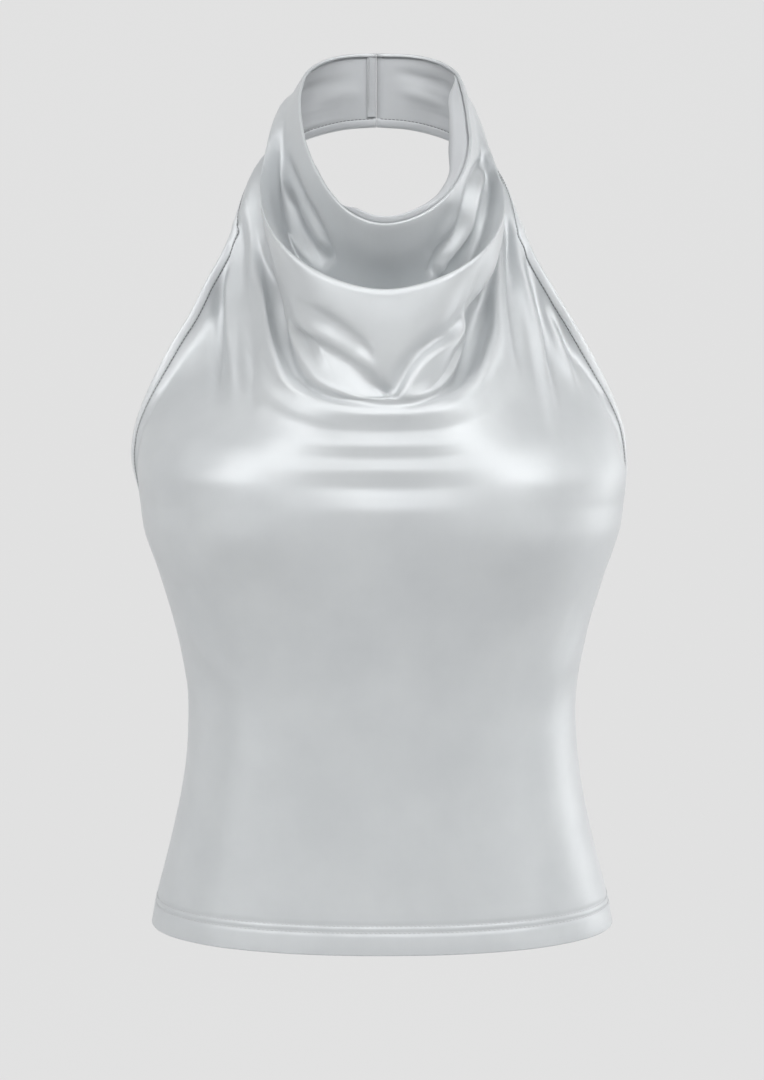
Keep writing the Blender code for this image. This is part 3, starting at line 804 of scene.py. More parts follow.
print(len(CREASES), "folds in", len({crease.zone for crease in CREASES}), "zones")

# %% [markdown]
# The lift of a fold is worked out for all points of its zone at once, from how far each point lies from
# the fold's curve and on which side of it.

# %% The lift of one fold
FADE_TOP = 0.3  # share of a fold's length over which it rises at its top
PATH_PARTS = 8  # straight parts between two points of its curve


def soft_step(value):
    t = np.clip(value, 0, 1)
    return t * t * (3 - 2 * t)


def crease_lift(crease, x, z):
    """How far a crease lifts the cloth at points, given as arrays of x and z."""
    parts = [PATH_PARTS] * (len(crease.path) - 1)
    path = spline([Vector((px, 0, pz)) for px, pz in crease.path], parts)
    nearest = np.full(x.shape, 1e9)
    share, side = np.zeros(x.shape), np.zeros(x.shape)
    for n, (a, b) in enumerate(zip(path, path[1:])):
        dx, dz = b.x - a.x, b.z - a.z
        t = np.clip(((x - a.x) * dx + (z - a.z) * dz) / (dx * dx + dz * dz), 0, 1)
        off_x, off_z = x - a.x - t * dx, z - a.z - t * dz
        distance = np.hypot(off_x, off_z)
        closer = distance < nearest
        nearest = np.where(closer, distance, nearest)
        share = np.where(closer, (n + t) / (len(path) - 1), share)
        side = np.where(closer, off_z * dx - off_x * dz, side)
    width = np.where(side > 0, crease.right, crease.left)
    fade = soft_step(share / FADE_TOP) * soft_step((1 - share) / crease.foot)
    return crease.lift * fade * np.exp(-((nearest / width) ** 2))


spot_x, spot_z = np.array([CREASES[0].path[1][0]]), np.array([CREASES[0].path[1][1]])
print("the first fold sinks the cloth by", round(float(crease_lift(CREASES[0], spot_x, spot_z)[0]), 2), "mm")

# %% [markdown]
# All lifts of a zone are added up, and the net's normals say in which direction to move. The torso gets a
# slight fullness at each side of the chest, as a dart gives it, and the whole cloth gets a slow, slight
# unevenness, as any cloth has. At the side edges the lift fades, so that the seams still meet.

# %% Laying the folds
UNEVEN_HEIGHT = 0.45
UNEVEN_SIZE = 38
BUST_X, BUST_Z, BUST_SPREAD, BUST_FULLNESS = 78, -268, 42, 6


def zone_parts():
    """The rows and the columns of the fine net that belong to each zone."""
    row = {guide.name: row_of(guide.name) * FINE for guide in FRONT}
    middle = slice(BAND + 1, WIDTH - BAND - 1)
    return {
        "chest": (slice(0, row["groove"]), middle),
        "waist": (slice(0, row["under_bust"]), middle),
        "groove": (slice(row["dip_2"], row["pouch_top"] - 6), middle),
        "pouch": (slice(row["lip"], row["pouch_top"] - 2), middle),
        "inner": (slice(row["pouch_top"] + 4, len(fine)), middle),
        "left band": (slice(row[STRAP_FOOT], len(fine)), slice(0, BAND - 4)),
        "right band": (slice(row[STRAP_FOOT], len(fine)), slice(WIDTH - BAND + 4, WIDTH)),
    }


def unevenness_at(point):
    spot = Vector(point) / UNEVEN_SIZE
    return UNEVEN_HEIGHT * (noise.noise(spot) + 0.5 * noise.noise(spot * 2.3 + Vector((7, 3, 1))))


def lay_folds(rows):
    """Moves the cloth of the front along its normals where its folds lift it."""
    base = net_normals(rows)
    x = np.array([[p.x if p else np.nan for p in row] for row in rows])
    z = np.array([[p.z if p else np.nan for p in row] for row in rows])
    lift = np.zeros(x.shape)
    for crease in CREASES:
        part = zone_parts()[crease.zone]
        lift[part] += crease_lift(crease, x[part], z[part])
    below = zone_parts()["chest"]
    off = np.hypot(np.abs(x[below]) - BUST_X, z[below] - BUST_Z)
    lift[below] += BUST_FULLNESS * np.exp(-((off / BUST_SPREAD) ** 2))
    for k, row in enumerate(rows):
        first = 0 if row[0] else BAND
        for i in range(first, WIDTH - first):
            from_edge = min(i - first, WIDTH - 1 - first - i)
            rise = float(lift[k, i]) + unevenness_at(row[i])
            row[i] += base[k][i] * rise * min(1.0, from_edge / FINE)


print("rows and columns of the pouch:", zone_parts()["pouch"])

# %% [markdown]
# The tip of the tongue would show a hard line, because all guides meet there in a point. The rows round
# it are smoothed over a few columns before the folds are laid.

# %% A soft tip, and the folds
def soften(rows, first, last, reach, passes):
    """Evens the rows out near the middle."""
    middle = WIDTH // 2
    for _ in range(passes):
        for row in rows[first:last]:
            now = [point.copy() for point in row[middle - reach - 1 : middle + reach + 2]]
            for n in range(1, len(now) - 1):
                i = middle - reach - 1 + n
                ease = 1 - (abs(i - middle) / (reach + 1)) ** 2
                row[i] = now[n].lerp((now[n - 1] + now[n + 1]) / 2, 0.8 * ease)


soften(fine, row_of("lip") * FINE - 2, row_of("pouch_face") * FINE + 6, 9, 14)
lay_folds(fine)
print(len(CREASES), "folds laid")

# %% [markdown]
# A bound armhole edge is tighter than the cloth beside it, so it turns a little towards the front and
# shows its binding. The turn is strongest at the edge and is gone a finger's breadth away, and it fades
# towards the side seam and the strap. A wider, gentler pull narrows the chest on the right, where the
# top sits a little closer.

# %% Armhole edges that turn forward
ArmholeTurn = namedtuple("ArmholeTurn", "out forward narrow")
ARMHOLE_TURNS = {"left": ArmholeTurn(5.0, 2.0, 0.5), "right": ArmholeTurn(4.0, 2.4, 3.5)}
TURN_REACH, NARROW_REACH = 13, 38  # how far from the edge the turn and the pull reach
TURN_COLUMNS = 40


def turn_armholes(rows):
    """Turns the cloth beside each armhole towards the front, as a bound edge lies on the chest."""
    first, foot = row_of(UNDER_ARM) * FINE, row_of(STRAP_FOOT) * FINE
    for side, turn in ARMHOLE_TURNS.items():
        sign = -1 if side == "left" else 1
        edge, step = (BAND, 1) if side == "left" else (WIDTH - 1 - BAND, -1)
        for k in range(first, foot):
            near_seam, near_strap = (k - first) / (3 * FINE), (foot - k) / (3 * FINE)
            share = float(soft_step(near_seam) * soft_step(near_strap))
            row, gone = rows[k], 0.0
            for n in range(TURN_COLUMNS):
                i = edge + n * step
                ahead = (row[i + step] - row[i]).length
                lip = float(soft_step(1 - gone / TURN_REACH))
                wide = float(soft_step(1 - gone / NARROW_REACH))
                row[i].x += sign * share * (turn.out * lip - turn.narrow * wide)
                row[i].y -= share * turn.forward * lip
                gone += ahead


turn_armholes(fine)
print("armhole edges turned:", {side: turn.out for side, turn in ARMHOLE_TURNS.items()}, "mm")

# %% [markdown]
# ## From a net to a cloth
#
# Blender makes the cloth's mesh from a flat grid, with one grid point for each point of the net. The
# grid is then bent: each of its points moves to its place. The grid's flat form isn't lost, because it
# becomes the UV map: distances along the cloth, in metres, so that the weave keeps its size.


# %% A bent grid
def cloth_lengths(rows):
    """How far each point lies along its row and up its column, in mm, from the middle and the foot."""
    middle = len(rows[0]) // 2
    along, up = [], []
    for k, row in enumerate(rows):
        sums = [0.0] * len(row)
        for i in range(middle + 1, len(row)):
            step = (row[i] - row[i - 1]).length if row[i] and row[i - 1] else 0
            sums[i] = sums[i - 1] + step
        for i in range(middle - 1, -1, -1):
            step = (row[i] - row[i + 1]).length if row[i] and row[i + 1] else 0
            sums[i] = sums[i + 1] - step
        along.append(sums)
        if k == 0:
            up.append([0.0] * len(row))
        else:
            low = rows[k - 1]
            up.append([up[-1][i] + ((p - low[i]).length if p and low[i] else 0) for i, p in enumerate(row)])
    return along, up


def cloth_mesh(name, rows):
    """A mesh of the net, made by bending a flat grid, with its lengths as the UV map cloth."""
    bm = bmesh.new()
    high, wide = len(rows) - 1, len(rows[0]) - 1
    bmesh.ops.create_grid(bm, x_segments=wide, y_segments=high, size=0.5)
    uv = bm.loops.layers.uv.new("cloth")
    along, up = cloth_lengths(rows)
    unused = []
    for vert in bm.verts:
        i, k = round((vert.co.x + 0.5) * wide), round((vert.co.y + 0.5) * high)
        for loop in vert.link_loops:
            loop[uv].uv = (along[k][i] * MM, up[k][i] * MM)
        if rows[k][i] is None:
            unused.append(vert)
        else:
            vert.co = rows[k][i] * MM
    bmesh.ops.delete(bm, geom=unused, context="VERTS")
    mesh = bpy.data.meshes.new(name)
    bm.to_mesh(mesh)
    bm.free()
    mesh.shade_smooth()
    return mesh


def area_of(mesh):
    return sum(face.area for face in mesh.polygons)


print("a net of", len(fine), "rows makes a grid of", (len(fine) - 1) * (WIDTH - 1), "faces at most")

# %% [markdown]
# A piece is finished the same way each time. It gets its materials, and where it is one layer of cloth a
# Solidify modifier gives it its wall, towards the inside, with the wrong side's material on its inner
# face. Then it is attached to the body that carries it, and the solids it stands for are hidden.


# %% A finished piece
def piece(name, mesh, thickness, finishes, nodes):
    """A finished piece of one layer of cloth: its outer face is the mesh, its wall lies inside."""
    made = bpy.data.objects.new(name, mesh)
    bpy.context.scene.collection.objects.link(made)
    for finish in finishes:
        mesh.materials.append(finish)
    if thickness:
        wall = made.modifiers.new("wall", "SOLIDIFY")
        wall.thickness = thickness * MM
        wall.offset = -1
        wall.use_even_offset = False
        wall.material_offset = len(finishes) - 1
        wall.use_quality_normals = True
    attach(made, "root")
    if nodes:
        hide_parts(*nodes)
    return made


print("helpers for cloth are ready")

# %% [markdown]
# ## Hem and rim
#
# Two rows of stitches hold the turned hem. Where the thread goes through, it draws the cloth in, so each
# row lies in a fine groove with a soft roll between the two. A groove a millimetre wide needs rows of
# the net that lie closer than that. So the lowest rows slide along the cloth until they lie at set
# heights, most of them beside the stitches, and then the cloth is drawn in there.

# %% Rows close to the stitches
HEM_SEAMS = (13.4, 17.8)  # heights of the two rows of stitches
HEM_ROWS = (5.0, 10.0, 12.3, 13.4, 14.5, 15.6, 16.7, 17.8, 18.9, 21.5, 27.0)  # heights of the lowest rows
HEM_EASE = 4  # the least room above them, where the other rows spread evenly


def heights(column):
    """How far each point of a column lies above its lowest, measured on the cloth."""
    out = [0.0]
    for low, high in zip(column, column[1:]):
        out.append(out[-1] + (high - low).length)
    return out


def gather_hem_rows(rows):
    """Slides the lowest rows of a net along the cloth to the heights of HEM_ROWS."""
    middle = len(rows[0]) // 2
    now = heights([row[middle] for row in rows])
    top = HEM_ROWS[-1]
    reach = next(k for k in range(len(HEM_ROWS), len(rows)) if now[k] > top + HEM_EASE)
    spare = reach - len(HEM_ROWS)
    above = [top + (now[reach] - top) * (n + 1) / spare for n in range(spare - 1)]
    for i in range(len(rows[0])):
        old = [rows[k][i] for k in range(reach + 1)]
        if None in old:
            continue
        lengths = heights(old)
        for k, height in enumerate((*HEM_ROWS, *above), 1):
            place = height * lengths[-1] / now[reach]
            low = max(n for n in range(reach) if lengths[n] <= place)
            part = (place - lengths[low]) / (lengths[low + 1] - lengths[low])
            rows[k][i] = old[low].lerp(old[low + 1], part)
    print("the lowest", reach, "rows lie within", round(now[reach], 1), "mm of the hem")


gather_hem_rows(fine)

# %% [markdown]
# The cloth between the edge and the stitches is a little too wide for the thread, so it puckers in small
# waves, which come from a noise that is stretched along the hem.

# %% Cloth drawn in by the thread
HEM_PULL = 0.85  # how far the thread draws the cloth in
HEM_GROOVE = 1.1  # half the width of the groove of one row
HEM_PUCKER = 0.4
PRESSED_ROWS = 24


def press_hem(rows):
    """Draws the cloth in along the two rows of stitches, and puckers it a little below them."""
    cloth_normals = net_normals(rows)
    for i in range(1, len(rows[0]) - 1):
        gone = 0.0
        for k in range(PRESSED_ROWS):
            if rows[k][i] is None:
                break
            pull = HEM_PULL * sum(bump(gone - height, HEM_GROOVE) for height in HEM_SEAMS)
            place = Vector((rows[k][i].x / 7.0, gone / 16, rows[k][i].y / 40))
            near_edge, above = min(1.0, gone / 5), bump(max(0.0, gone - 13), 6)
            pucker = HEM_PUCKER * noise.noise(place) * near_edge * above
            gone += (rows[k + 1][i] - rows[k][i]).length
            rows[k][i] = rows[k][i] + cloth_normals[k][i] * (pucker - pull)


press_hem(fine)
print("hem drawn in by", HEM_PULL, "mm at", HEM_SEAMS, "mm")

# %% [markdown]
# The cloth doesn't end at the hem: it is folded up inside and stitched. The same happens at the free
# edge of the cowl, where a fold gives the rim its soft round edge. So the net gets more rows at both
# ends: a half circle round the fold, and then the turned part, which follows the cloth on its inside.

# %% Cloth that turns round its own edge
CLOTH = 0.7  # thickness of the satin, a little more than the real one so that edges show
HEM_ROLL, HEM_DEPTH = 0.9, 17  # radius of the fold at the hem, and how far the cloth goes back up
RIM_ROLL, RIM_DEPTH = 1.1, 7
TURN_PARTS = 6


def turned(rows, normals, radius, depth, at_end):
    """Rows that carry the cloth round its edge and back on the inside, from the edge on."""
    order = list(range(len(rows)))
    if at_end:
        order.reverse()
    edge, before = rows[order[0]], rows[order[1]]
    out = []
    for step in range(1, TURN_PARTS + 1):
        a = math.pi * step / TURN_PARTS
        row = []
        for p, q, n in zip(edge, before, normals[order[0]]):
            if p is None:
                row.append(None)
                continue
            beyond = (p - q).normalized()
            row.append(p - n * radius * (1 - math.cos(a)) + beyond * radius * math.sin(a))
        out.append(row)
    gone = 0.0
    middle = len(edge) // 2
    for here, there in zip(order, order[1:]):
        gone += (rows[there][middle] - rows[here][middle]).length
        out.append([p and p - n * radius * 2 for p, n in zip(rows[there], normals[there])])
        if gone > depth:
            break
    return out


side_rows = row_of(UNDER_ARM) * FINE + 1
strap_row = row_of(STRAP_FOOT) * FINE
FRONT_SEAMS = [
    (BAND, 1, 0, side_rows),
    (WIDTH - 1 - BAND, 1, 0, side_rows),
    (0, 0, strap_row, len(fine)),
    (WIDTH - 1, 0, strap_row, len(fine)),
]
normals = net_normals(fine, FRONT_SEAMS)
hem_turn = turned(fine, normals, HEM_ROLL, HEM_DEPTH, at_end=False)
rim_turn = turned(fine, normals, RIM_ROLL, RIM_DEPTH, at_end=True)
front_mesh = cloth_mesh("front", [*reversed(hem_turn), *fine, *rim_turn])
front = piece("front", front_mesh, CLOTH, [right_side, wrong_side], ["front_panel", "front_hem"])

# %% [markdown]
# ## The back
#
# The back is a plain panel from the hem to the top of the open back. It has its own guide lines, because
# a back is flatter than a front and curves in at the waist. The same helpers make its net, and later
# refine it and turn its hem. It meets the front at the side seams, a hair's breadth away.

# %% Guide lines of the back
BACK = [
    Guide("hem", 90, -540, 151, -10, -540, 2.4, 1, 0, 4),
    Guide("hem_top", 88, -524, 148, -10, -524, 2.4, 1, 0, 2),
    Guide("hip", 80, -488, 138.5, -10, -488, 2.4, 1, 0, 2),
    Guide("small_of_back", 68, -435, 128, -10, -435, 2.4, 1, 0, 2),
    Guide("waist", 66, -389, 126, -10, -389, 2.4, 1, 0, 2),
    Guide("ribs", 74, -346, 134, -10, -343, 2.5, 1, 0, 2),
    Guide("under_arm", 86, -312, 144, -10, -308, 2.6, 1, 0, 2),
    Guide("top_edge", 92, -290, 153, -10, -284, 2.6, 1, 0, 1),
    Guide("top", 94, -278, 155.5, -10, -265, 2.6, 1, 0, 0),
]
BACK_COLUMNS = 14


def back_net():
    steps = [guide.steps for guide in BACK]
    turns = list(reversed(angles(BACK_COLUMNS)))
    columns = [spline([swag(guide, angle) for guide in BACK], steps) for angle in turns]
    rows = [list(row) for row in zip(*columns)]
    for row in rows:
        row[0].y = row[-1].y = SEAM_Y + SEAM_GAP
    return rows


back_rows, _ = refined(back_net(), 0)
print("net of the back:", len(back_rows), "rows of", len(back_rows[0]), "points")

# %% [markdown]
# A back panel without darts is too long in the small of the back, and the spare cloth lies there in a few
# low slanting folds that start at the side seams. Two more hang from the ends of the open back.

# %% The back panel
BACK_CREASES = [
    Crease("back", 1.4, 7.0, 9.0, ((-118, -372), (-80, -392), (-34, -400))),
    Crease("back", -1.2, 8.0, 7.0, ((-116, -392), (-82, -408), (-40, -414))),
    Crease("back", 1.1, 8.0, 8.0, ((-118, -414), (-86, -426), (-52, -430))),
    Crease("back", 1.3, 9.0, 7.0, ((120, -364), (84, -386), (30, -397))),
    Crease("back", -1.1, 7.0, 8.0, ((118, -388), (88, -404), (44, -412))),
    Crease("back", 0.9, 9.0, 9.0, ((-96, -296), (-74, -322), (-60, -352))),
    Crease("back", -0.9, 9.0, 9.0, ((100, -294), (80, -320), (66, -348))),
]


def lay_back_folds(rows):
    """Lays the few low folds of the small of the back, which fade before they reach the side seams."""
    base = net_normals(rows)
    x = np.array([[p.x for p in row] for row in rows])
    z = np.array([[p.z for p in row] for row in rows])
    lift = sum(crease_lift(crease, x, z) for crease in BACK_CREASES)
    for k, row in enumerate(rows):
        for i in range(len(row)):
            ease = min(1.0, min(i, len(row) - 1 - i) / (4 * FINE))
            row[i] += base[k][i] * (float(lift[k, i]) + unevenness_at(row[i])) * ease


lay_back_folds(back_rows)
gather_hem_rows(back_rows)
press_hem(back_rows)
last = len(back_rows)
back_normals = net_normals(back_rows, [(0, 1, 0, last), (len(back_rows[0]) - 1, 1, 0, last)])
back_turn = turned(back_rows, back_normals, HEM_ROLL, HEM_DEPTH, at_end=False)
back_mesh = cloth_mesh("back", [*reversed(back_turn), *back_rows])
back = piece("back", back_mesh, CLOTH, [right_side, wrong_side], ["back_panel", "back_hem"])
print("back:", len(back_mesh.polygons), "faces,", round(area_of(back_mesh), 4), "square metres")

# %% [markdown]
# ## Bindings
#
# A binding is a narrow strip of the same satin, folded round a raw edge and stitched through. It is drawn
# out along its edge from one section: up from the cloth, over a soft crown, round the edge and back on
# the inside. Half of the section is enough, because the inner half is its mirror image.

# %% The section of a strip folded round an edge
BINDING_WIDTH = 5
BINDING_SEAM = 4.75  # how far from the edge its stitches lie
Corner = namedtuple("Corner", "into height")
HALF_SECTION = [
    Corner(4.0, 0.10),
    Corner(5.0, 0.10),
    Corner(5.0, 0.16),
    Corner(4.5, 0.2),
    Corner(4.35, 0.75),
    Corner(3.6, 0.98),
    Corner(2.2, 1.05),
    Corner(0.9, 1.02),
    Corner(-0.2, 0.85),
    Corner(-0.85, 0.35),
]
FOLD = Corner(-1.05, -CLOTH / 2)


def mirrored(corner):
    """The same corner on the inner side of the cloth."""
    return Corner(corner.into, -CLOTH - corner.height)


print("the section of a binding has", 2 * len(HALF_SECTION) + 1, "corners")

# %% [markdown]
# The strip has to lie on the cloth, which bends under it. So each point of the edge gets a rib: the nearest
# points of the cloth are looked up at three depths, and the section stands on a curve through those.

# %% Ribs that carry the section
Rib = namedtuple("Rib", "point normal inward bases")


def ribs_of(points, normals, side, tree, first_inward, last_inward):
    """What carries the section at each point of an edge. side is 1 where the cloth lies to the left of
    someone who walks along the edge on its outer face, else -1."""
    out = []
    count = len(points)
    for k, (point, normal) in enumerate(zip(points, normals)):
        ahead = points[min(k + 1, count - 1)] - points[max(k - 1, 0)]
        inward = normal.cross(ahead).normalized() * side
        if k == 0 and first_inward:
            inward = first_inward
        if k == count - 1 and last_inward:
            inward = last_inward
        bases = [point]
        for depth in (BINDING_WIDTH / 2, BINDING_WIDTH):
            bases.append(tree.find_nearest(point + inward * depth)[0])
        out.append(Rib(point, normal, inward, bases))
    return out


def on_rib(rib, corner):
    """Where a corner of the section lies on a rib."""
    a, b, c = rib.bases
    t = max(0.0, corner.into) / BINDING_WIDTH
    base = a * (1 - t) * (1 - 2 * t) + b * 4 * t * (1 - t) + c * t * (2 * t - 1)
    slope = (c - a).normalized()
    normal = (rib.normal - slope * rib.normal.dot(slope)).normalized()
    mixed = rib.normal.lerp(normal, min(1.0, t * 2)).normalized()
    return base + rib.inward * min(0.0, corner.into) + mixed * corner.height


def net_tree(rows):
    """Finds the nearest point of a net's outer face, in mm."""
    points, names = [], {}
    for k, row in enumerate(rows):
        for i, point in enumerate(row):
            if point is not None:
                names[k, i] = len(points)
                points.append(point)
    faces = []
    for k, i in names:
        corners = [(k, i), (k, i + 1), (k + 1, i + 1), (k + 1, i)]
        if all(corner in names for corner in corners):
            faces.append([names[corner] for corner in corners])
    return BVHTree.FromPolygons(points, faces)


front_tree, back_tree = net_tree(fine), net_tree(back_rows)
hem_middle = fine[0][WIDTH // 2]
print("nearest cloth to the middle of the hem:", [round(v) for v in front_tree.find_nearest(hem_middle)[0]])

# %% [markdown]
# A grid with one row for each rib and one column for each corner, bent to those places, is the strip. Its
# first and last columns meet, so merging them closes it to a tube, and its two ends are filled. The
# normals are made to point outwards once it is closed.


# %% A closed strip
def closed_tube(mesh, inner_finish=0):
    """A bent grid whose first and last columns meet, closed to a tube and capped at both ends."""
    bm = bmesh.new()
    bm.from_mesh(mesh)
    uv = bm.loops.layers.uv["cloth"]
    for face in bm.faces:
        inner = min(loop[uv].uv.x for loop in face.loops) > -1e-6
        face.material_index = inner_finish if inner else 0
    bmesh.ops.remove_doubles(bm, verts=bm.verts[:], dist=1e-6)
    bmesh.ops.holes_fill(bm, edges=[e for e in bm.edges if e.is_boundary], sides=0)
    bmesh.ops.recalc_face_normals(bm, faces=bm.faces[:])
    bm.to_mesh(mesh)
    bm.free()
    mesh.shade_smooth()
    return mesh


def binding_mesh(name, ribs):
    """The section drawn along the ribs, as a tube."""
    section = [*HALF_SECTION, FOLD, *[mirrored(corner) for corner in reversed(HALF_SECTION)]]
    section += [mirrored(Corner(0.3, 0.12)), Corner(-0.3, -CLOTH / 2), Corner(0.3, 0.12)]
    rows = [[on_rib(rib, corner) for corner in (*section, section[0])] for rib in ribs]
    return closed_tube(cloth_mesh(name, rows), inner_finish=1)


def evenly(points, pitch):
    """The points of a line, and others, at an even pitch along it."""
    total = sum((b - a).length for a, b in zip(points, points[1:]))
    count = max(2, round(total / pitch))
    out, gone, k = [points[0].copy()], 0.0, 0
    for n in range(1, count):
        want = total * n / count
        while gone + (points[k + 1] - points[k]).length < want:
            gone += (points[k + 1] - points[k]).length
            k += 1
        out.append(points[k].lerp(points[k + 1], (want - gone) / (points[k + 1] - points[k]).length))
    return [*out, points[-1].copy()]


def edge_normals(points, tree):
    """Normals of the cloth at points of its edge, evened out along the edge."""
    found = [tree.find_nearest(point)[1] for point in points]
    for _ in range(6):
        ends = [found[0], *found, found[-1]]
        found = [(ends[k] + 2 * ends[k + 1] + ends[k + 2]).normalized() for k in range(len(found))]
    return found


left_edge = heights([row[BAND] for row in fine[side_rows - 1 : strap_row]])
print("the left armhole is", round(left_edge[-1]), "mm long from its side seam to the strap")

# %% [markdown]
# Each armhole binding starts at the side seam, climbs the armhole, turns round the strap and runs on
# along the foot of the neck band to its seam. The back binding joins the two side seams.

# %% The three bindings
EDGE_PITCH = 1.6


def armhole_ribs(right):
    rows = [row[::-1] for row in fine] if right else fine
    first, foot = row_of(UNDER_ARM) * FINE, row_of(STRAP_FOOT) * FINE
    edge = [row[BAND] for row in rows[first:foot]] + list(reversed(rows[foot][: BAND + 1]))
    points = evenly(edge, EDGE_PITCH)
    turned_normals = edge_normals(points, front_tree)
    turned_normals[0] = Vector((1 if right else -1, 0, 0))
    down = (rows[first - 1][BAND] - edge[0]).normalized()
    up = rows[foot + 1][0] - rows[foot][0]
    up.x = 0
    return ribs_of(points, turned_normals, 1 if right else -1, front_tree, down, up.normalized())


def back_ribs():
    points = evenly(back_rows[-1], EDGE_PITCH)
    down = [(back_rows[-2][i] - back_rows[-1][i]).normalized() for i in (0, -1)]
    return ribs_of(points, edge_normals(points, back_tree), -1, back_tree, *down)


edges = {"left": armhole_ribs(False), "right": armhole_ribs(True), "back": back_ribs()}
for side, ribs in edges.items():
    name = side + "_binding" if side == "back" else side + "_armhole_binding"
    mesh = binding_mesh(side + " binding", ribs)
    # the outer half gets the lighter binding satin with its painted highlight, the inner half the facing's
    # satin
    finishes = [binding_satin_painted_highlight, facing_satin]
    piece(side + "_binding_strip", mesh, 0, finishes, [name])
    print(side, "binding:", len(ribs), "ribs,", len(mesh.polygons), "faces")

# %% [markdown]
# ## Facing and neck seam
#
# The free edge of the cowl is lined with a narrow facing, so that its wrong side doesn't show when the
# cloth falls forward. In the middle the facing stands a few millimetres above the rim, and on the right
# it falls away from it. A table gives how far, at angles of the rim.

# %% The facing inside the cowl
NECK_MIDDLE_Y = -10
FACING_DEPTH = 2.6  # how far its outer face lies behind the face of the cowl
FACING_ROWS = 4
Stand = namedtuple("Stand", "angle above inside")
FACING = [
    Stand(-60, 0, 0.3),
    Stand(-35, 0, 0.3),
    Stand(-20, 5.5, 1.5),
    Stand(20, 5.5, 2),
    Stand(45, 3.5, 6),
    Stand(68, 1, 13),
    Stand(90, 0, 10),
    Stand(118, 0, 1),
]


def facing_stand(angle):
    """How far the facing's free edge stands above and inside the rim at an angle."""
    for low, high in zip(FACING, FACING[1:]):
        if low.angle <= angle <= high.angle:
            t = (angle - low.angle) / (high.angle - low.angle)
            t = t * t * (3 - 2 * t)
            return [a + (b - a) * t for a, b in zip(low[1:], high[1:])]
    return [FACING[-1].above, FACING[-1].inside]


def fine_angles():
    """The angle of each column of the fine net. Angles beyond 90 go on round the neck."""
    round_neck = [90 + 90 * (c / BAND_COLUMNS) ** 1.2 for c in range(1, BAND_COLUMNS + 1)]
    coarse = [*[-a for a in reversed(round_neck)], *angles(COLUMNS), *round_neck]
    out = []
    for low, high in zip(coarse, coarse[1:]):
        out += [low + (high - low) * step / FINE for step in range(FINE)]
    return [*out, coarse[-1]]


def facing_rows():
    places = fine_angles()
    span = [i for i, a in enumerate(places) if FACING[0].angle <= a <= FACING[-1].angle]
    low = range(len(fine) - (FACING_ROWS - 1) * FINE - 1, len(fine))
    rows = [[fine[k][i] - normals[k][i] * FACING_DEPTH for i in span] for k in low]
    free = []
    for step in range(1, 5):
        share = step / 4
        row = []
        for i, point, before in zip(span, rows[-1], rows[-3]):
            above, inside = facing_stand(places[i])
            up = (point - before).normalized()
            into = Vector((-point.x, NECK_MIDDLE_Y - point.y, 0)).normalized()
            row.append(point + up * above * share + into * inside * share**1.5)
        free.append(row)
    return [*rows[:-1], *free]


facing_net = facing_rows()
facing_mesh = cloth_mesh("facing", facing_net)
facing = piece("facing", facing_mesh, 0.5, [facing_satin], ["cowl_facing"])
print("facing:", len(facing_mesh.polygons), "faces,", round(area_of(facing_mesh), 5), "square metres")

# %% [markdown]
# Behind the neck the two ends of the front cloth meet in a seam. Inside, their raw edges are overlocked
# together and pressed to one side, so they show as one thick strip with thread wound along its edge.


# %% The seam allowance behind the neck
def seam_point(k, along, height):
    """A point beside the neck seam on the inner face of the band, at a height off that face."""
    start = fine[k][0] - normals[k][0] * CLOTH
    step = (fine[k][FINE] - fine[k][0]).normalized()
    normal = (normals[k][0] - step * normals[k][0].dot(step)).normalized()
    return start + step * along - normal * height


def allowance_rows():
    section = [(6.2, 0.3), (6.4, 0.5), (6.1, 0.75), (5.2, 0.85), (4.0, 0.8), (2.6, 0.78), (1.2, 0.82)]
    section += [(0.5, 0.75), (0.35, 0.5), (0.5, 0.3)]
    foot = row_of(STRAP_FOOT) * FINE
    first = next(k for k in range(foot, len(fine)) if (fine[k][0] - fine[foot][0]).length > 5.6)
    return [[seam_point(k, *place) for place in (*section, section[0])] for k in range(first, len(fine))]


allowance_mesh = closed_tube(cloth_mesh("neck seam allowance", allowance_rows()))
allowance = piece(
    "neck_allowance", allowance_mesh, 0, [facing_satin], ["neck_seam_allowance"]
)
print("allowance:", len(allowance_mesh.polygons), "faces")

# %% [markdown]
# ## Stitches
#
# A stitch is a short piece of thread that lies on the cloth and dips into it at both ends. There are
# hundreds, so each is a sphere of few faces, drawn out along its line and pressed flat.

# %% Rows of stitches
Line = namedtuple("Line", "points normals")
STITCH_SEGMENTS, STITCH_RINGS = 6, 4
STITCHES_AT_ONCE = 30


def stitch_places(line, pitch):
    """The place, direction and normal of each stitch along a line."""
    out, gone = [], 0.0
    places = list(zip(line.points, line.normals))
    for (here, normal), (there, _) in zip(places, places[1:]):
        span = (there - here).length
        while gone < span:
            out.append((here.lerp(there, gone / span), (there - here).normalized(), normal))
            gone += pitch
        gone -= span
    return out


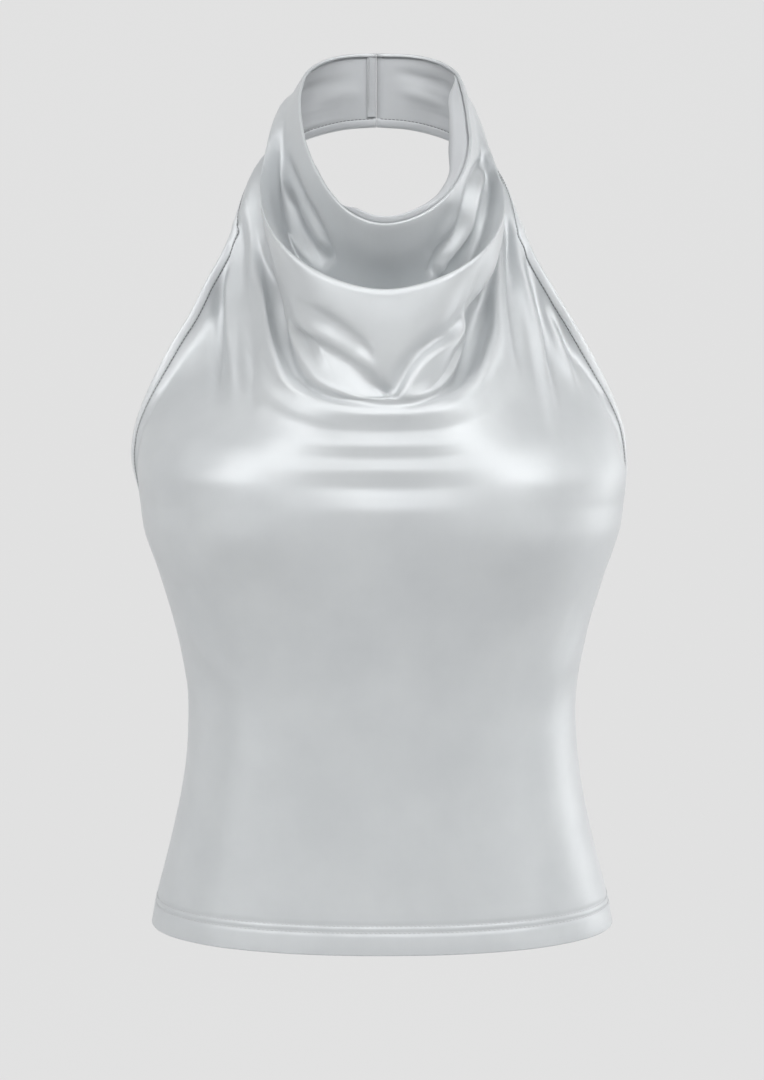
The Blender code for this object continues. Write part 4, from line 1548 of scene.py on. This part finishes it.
def stitch_mesh(name, lines, pitch, length, radius):
    """All stitches of some lines in one mesh. They are made a few at a time, which is quicker."""
    places = [place for line in lines for place in stitch_places(line, pitch)]
    whole = bmesh.new()
    for first in range(0, len(places), STITCHES_AT_ONCE):
        bm = bmesh.new()
        for place, along, normal in places[first : first + STITCHES_AT_ONCE]:
            side = normal.cross(along).normalized()
            sizes = (side * radius, normal * radius * 0.6, along * length / 2)
            turn = (Matrix(sizes).transposed() * MM).to_4x4()
            where = Matrix.Translation(place * MM) @ turn
            size = {"u_segments": STITCH_SEGMENTS, "v_segments": STITCH_RINGS, "radius": 1}
            bmesh.ops.create_uvsphere(bm, matrix=where, **size)
        bmesh.ops.recalc_face_normals(bm, faces=bm.faces[:])
        few = bpy.data.meshes.new("few")
        bm.to_mesh(few)
        bm.free()
        whole.from_mesh(few)
        bpy.data.meshes.remove(few)
    mesh = bpy.data.meshes.new(name)
    whole.to_mesh(mesh)
    whole.free()
    mesh.shade_smooth()
    print(name + ":", len(places), "stitches")
    return mesh


print("a stitch is a sphere of", STITCH_SEGMENTS, "by", STITCH_RINGS, "faces")

# %% [markdown]
# The rows of the hem lie at two heights above its foot, on the front and on the back. Each binding has a
# row on its outer side and one on its inner side, because a stitch goes through the whole strip.


# %% Hem and binding rows
def level_line(rows, row_normals, height, columns):
    """The line across a net at a height above its foot, measured on the cloth."""
    points, out_normals = [], []
    for i in columns:
        gone = 0.0
        for k in range(len(rows) - 1):
            step = (rows[k + 1][i] - rows[k][i]).length
            if gone + step >= height:
                t = (height - gone) / step
                points.append(rows[k][i].lerp(rows[k + 1][i], t) + row_normals[k][i] * 0.05)
                out_normals.append(row_normals[k][i])
                break
            gone += step
    return Line(points, out_normals)


def ribs_line(ribs, corner):
    places = [on_rib(rib, corner) for rib in ribs[1:-1]]
    flip = 1 if corner.height > -CLOTH / 2 else -1
    return Line(places, [rib.normal * flip for rib in ribs[1:-1]])


front_columns = range(BAND + 1, WIDTH - BAND - 1)
back_columns = range(1, len(back_rows[0]) - 1)
hem_lines = []
for height in HEM_SEAMS:
    hem_lines.append(level_line(fine, normals, height, front_columns))
    hem_lines.append(level_line(back_rows, back_normals, height, back_columns))
hem_stitches = piece(
    "hem_stitches", stitch_mesh("hem stitches", hem_lines, 3.0, 2.3, 0.3), 0, [thread], []
)
seam = Corner(BINDING_SEAM, 0.28)
binding_lines = [ribs_line(ribs, c) for ribs in edges.values() for c in (seam, mirrored(seam))]
# the binding stitches use the near-black thread, a painted shadow for the ditch along the stitched edge
binding_stitches = piece(
    "binding_stitches",
    stitch_mesh("binding stitches", binding_lines, 2.6, 2.5, 0.3),
    0,
    [ditch_shadow_thread],
    [],
)
print("thread:", hem_stitches.name, "and", binding_stitches.name)

# %% [markdown]
# The overlock behind the neck is thread that runs to and fro across the edge of the allowance, and two
# rows of stitches hold the allowance down.

# %% Overlock and rows behind the neck
seam_rows = range((row_of(STRAP_FOOT) + 5) * FINE, len(fine) - 2)


def inner_line(along, height):
    places = [seam_point(k, along, height) for k in seam_rows]
    return Line(places, [-normals[k][0] for k in seam_rows])


def overlock_lines():
    edges_of_seam = [inner_line(4.4, 0.9), inner_line(6.3, 0.8)]
    near, far = (evenly(line.points, 0.85) for line in edges_of_seam)
    normal = edges_of_seam[0].normals[0]
    out = []
    for n in range(0, min(len(near), len(far)) - 1):
        pair = (near[n], far[n]) if n % 2 else (far[n], near[n])
        middle = (pair[0] + pair[1]) / 2 + normal * 0.12
        out.append(Line([middle, pair[1] + normal * 0.1], [normal, normal]))
    return out


overlock = stitch_mesh("overlock thread", overlock_lines(), 99, 2.1, 0.16)
rows_behind = stitch_mesh("neck seam rows", [inner_line(1.4, 0.9), inner_line(2.8, 0.88)], 2.4, 1.8, 0.2)
neck_threads = [
    piece("neck_overlock", overlock, 0, [thread], []),
    piece("neck_seam_stitches", rows_behind, 0, [thread], []),
]
print("threads behind the neck:", ", ".join(made.name for made in neck_threads))
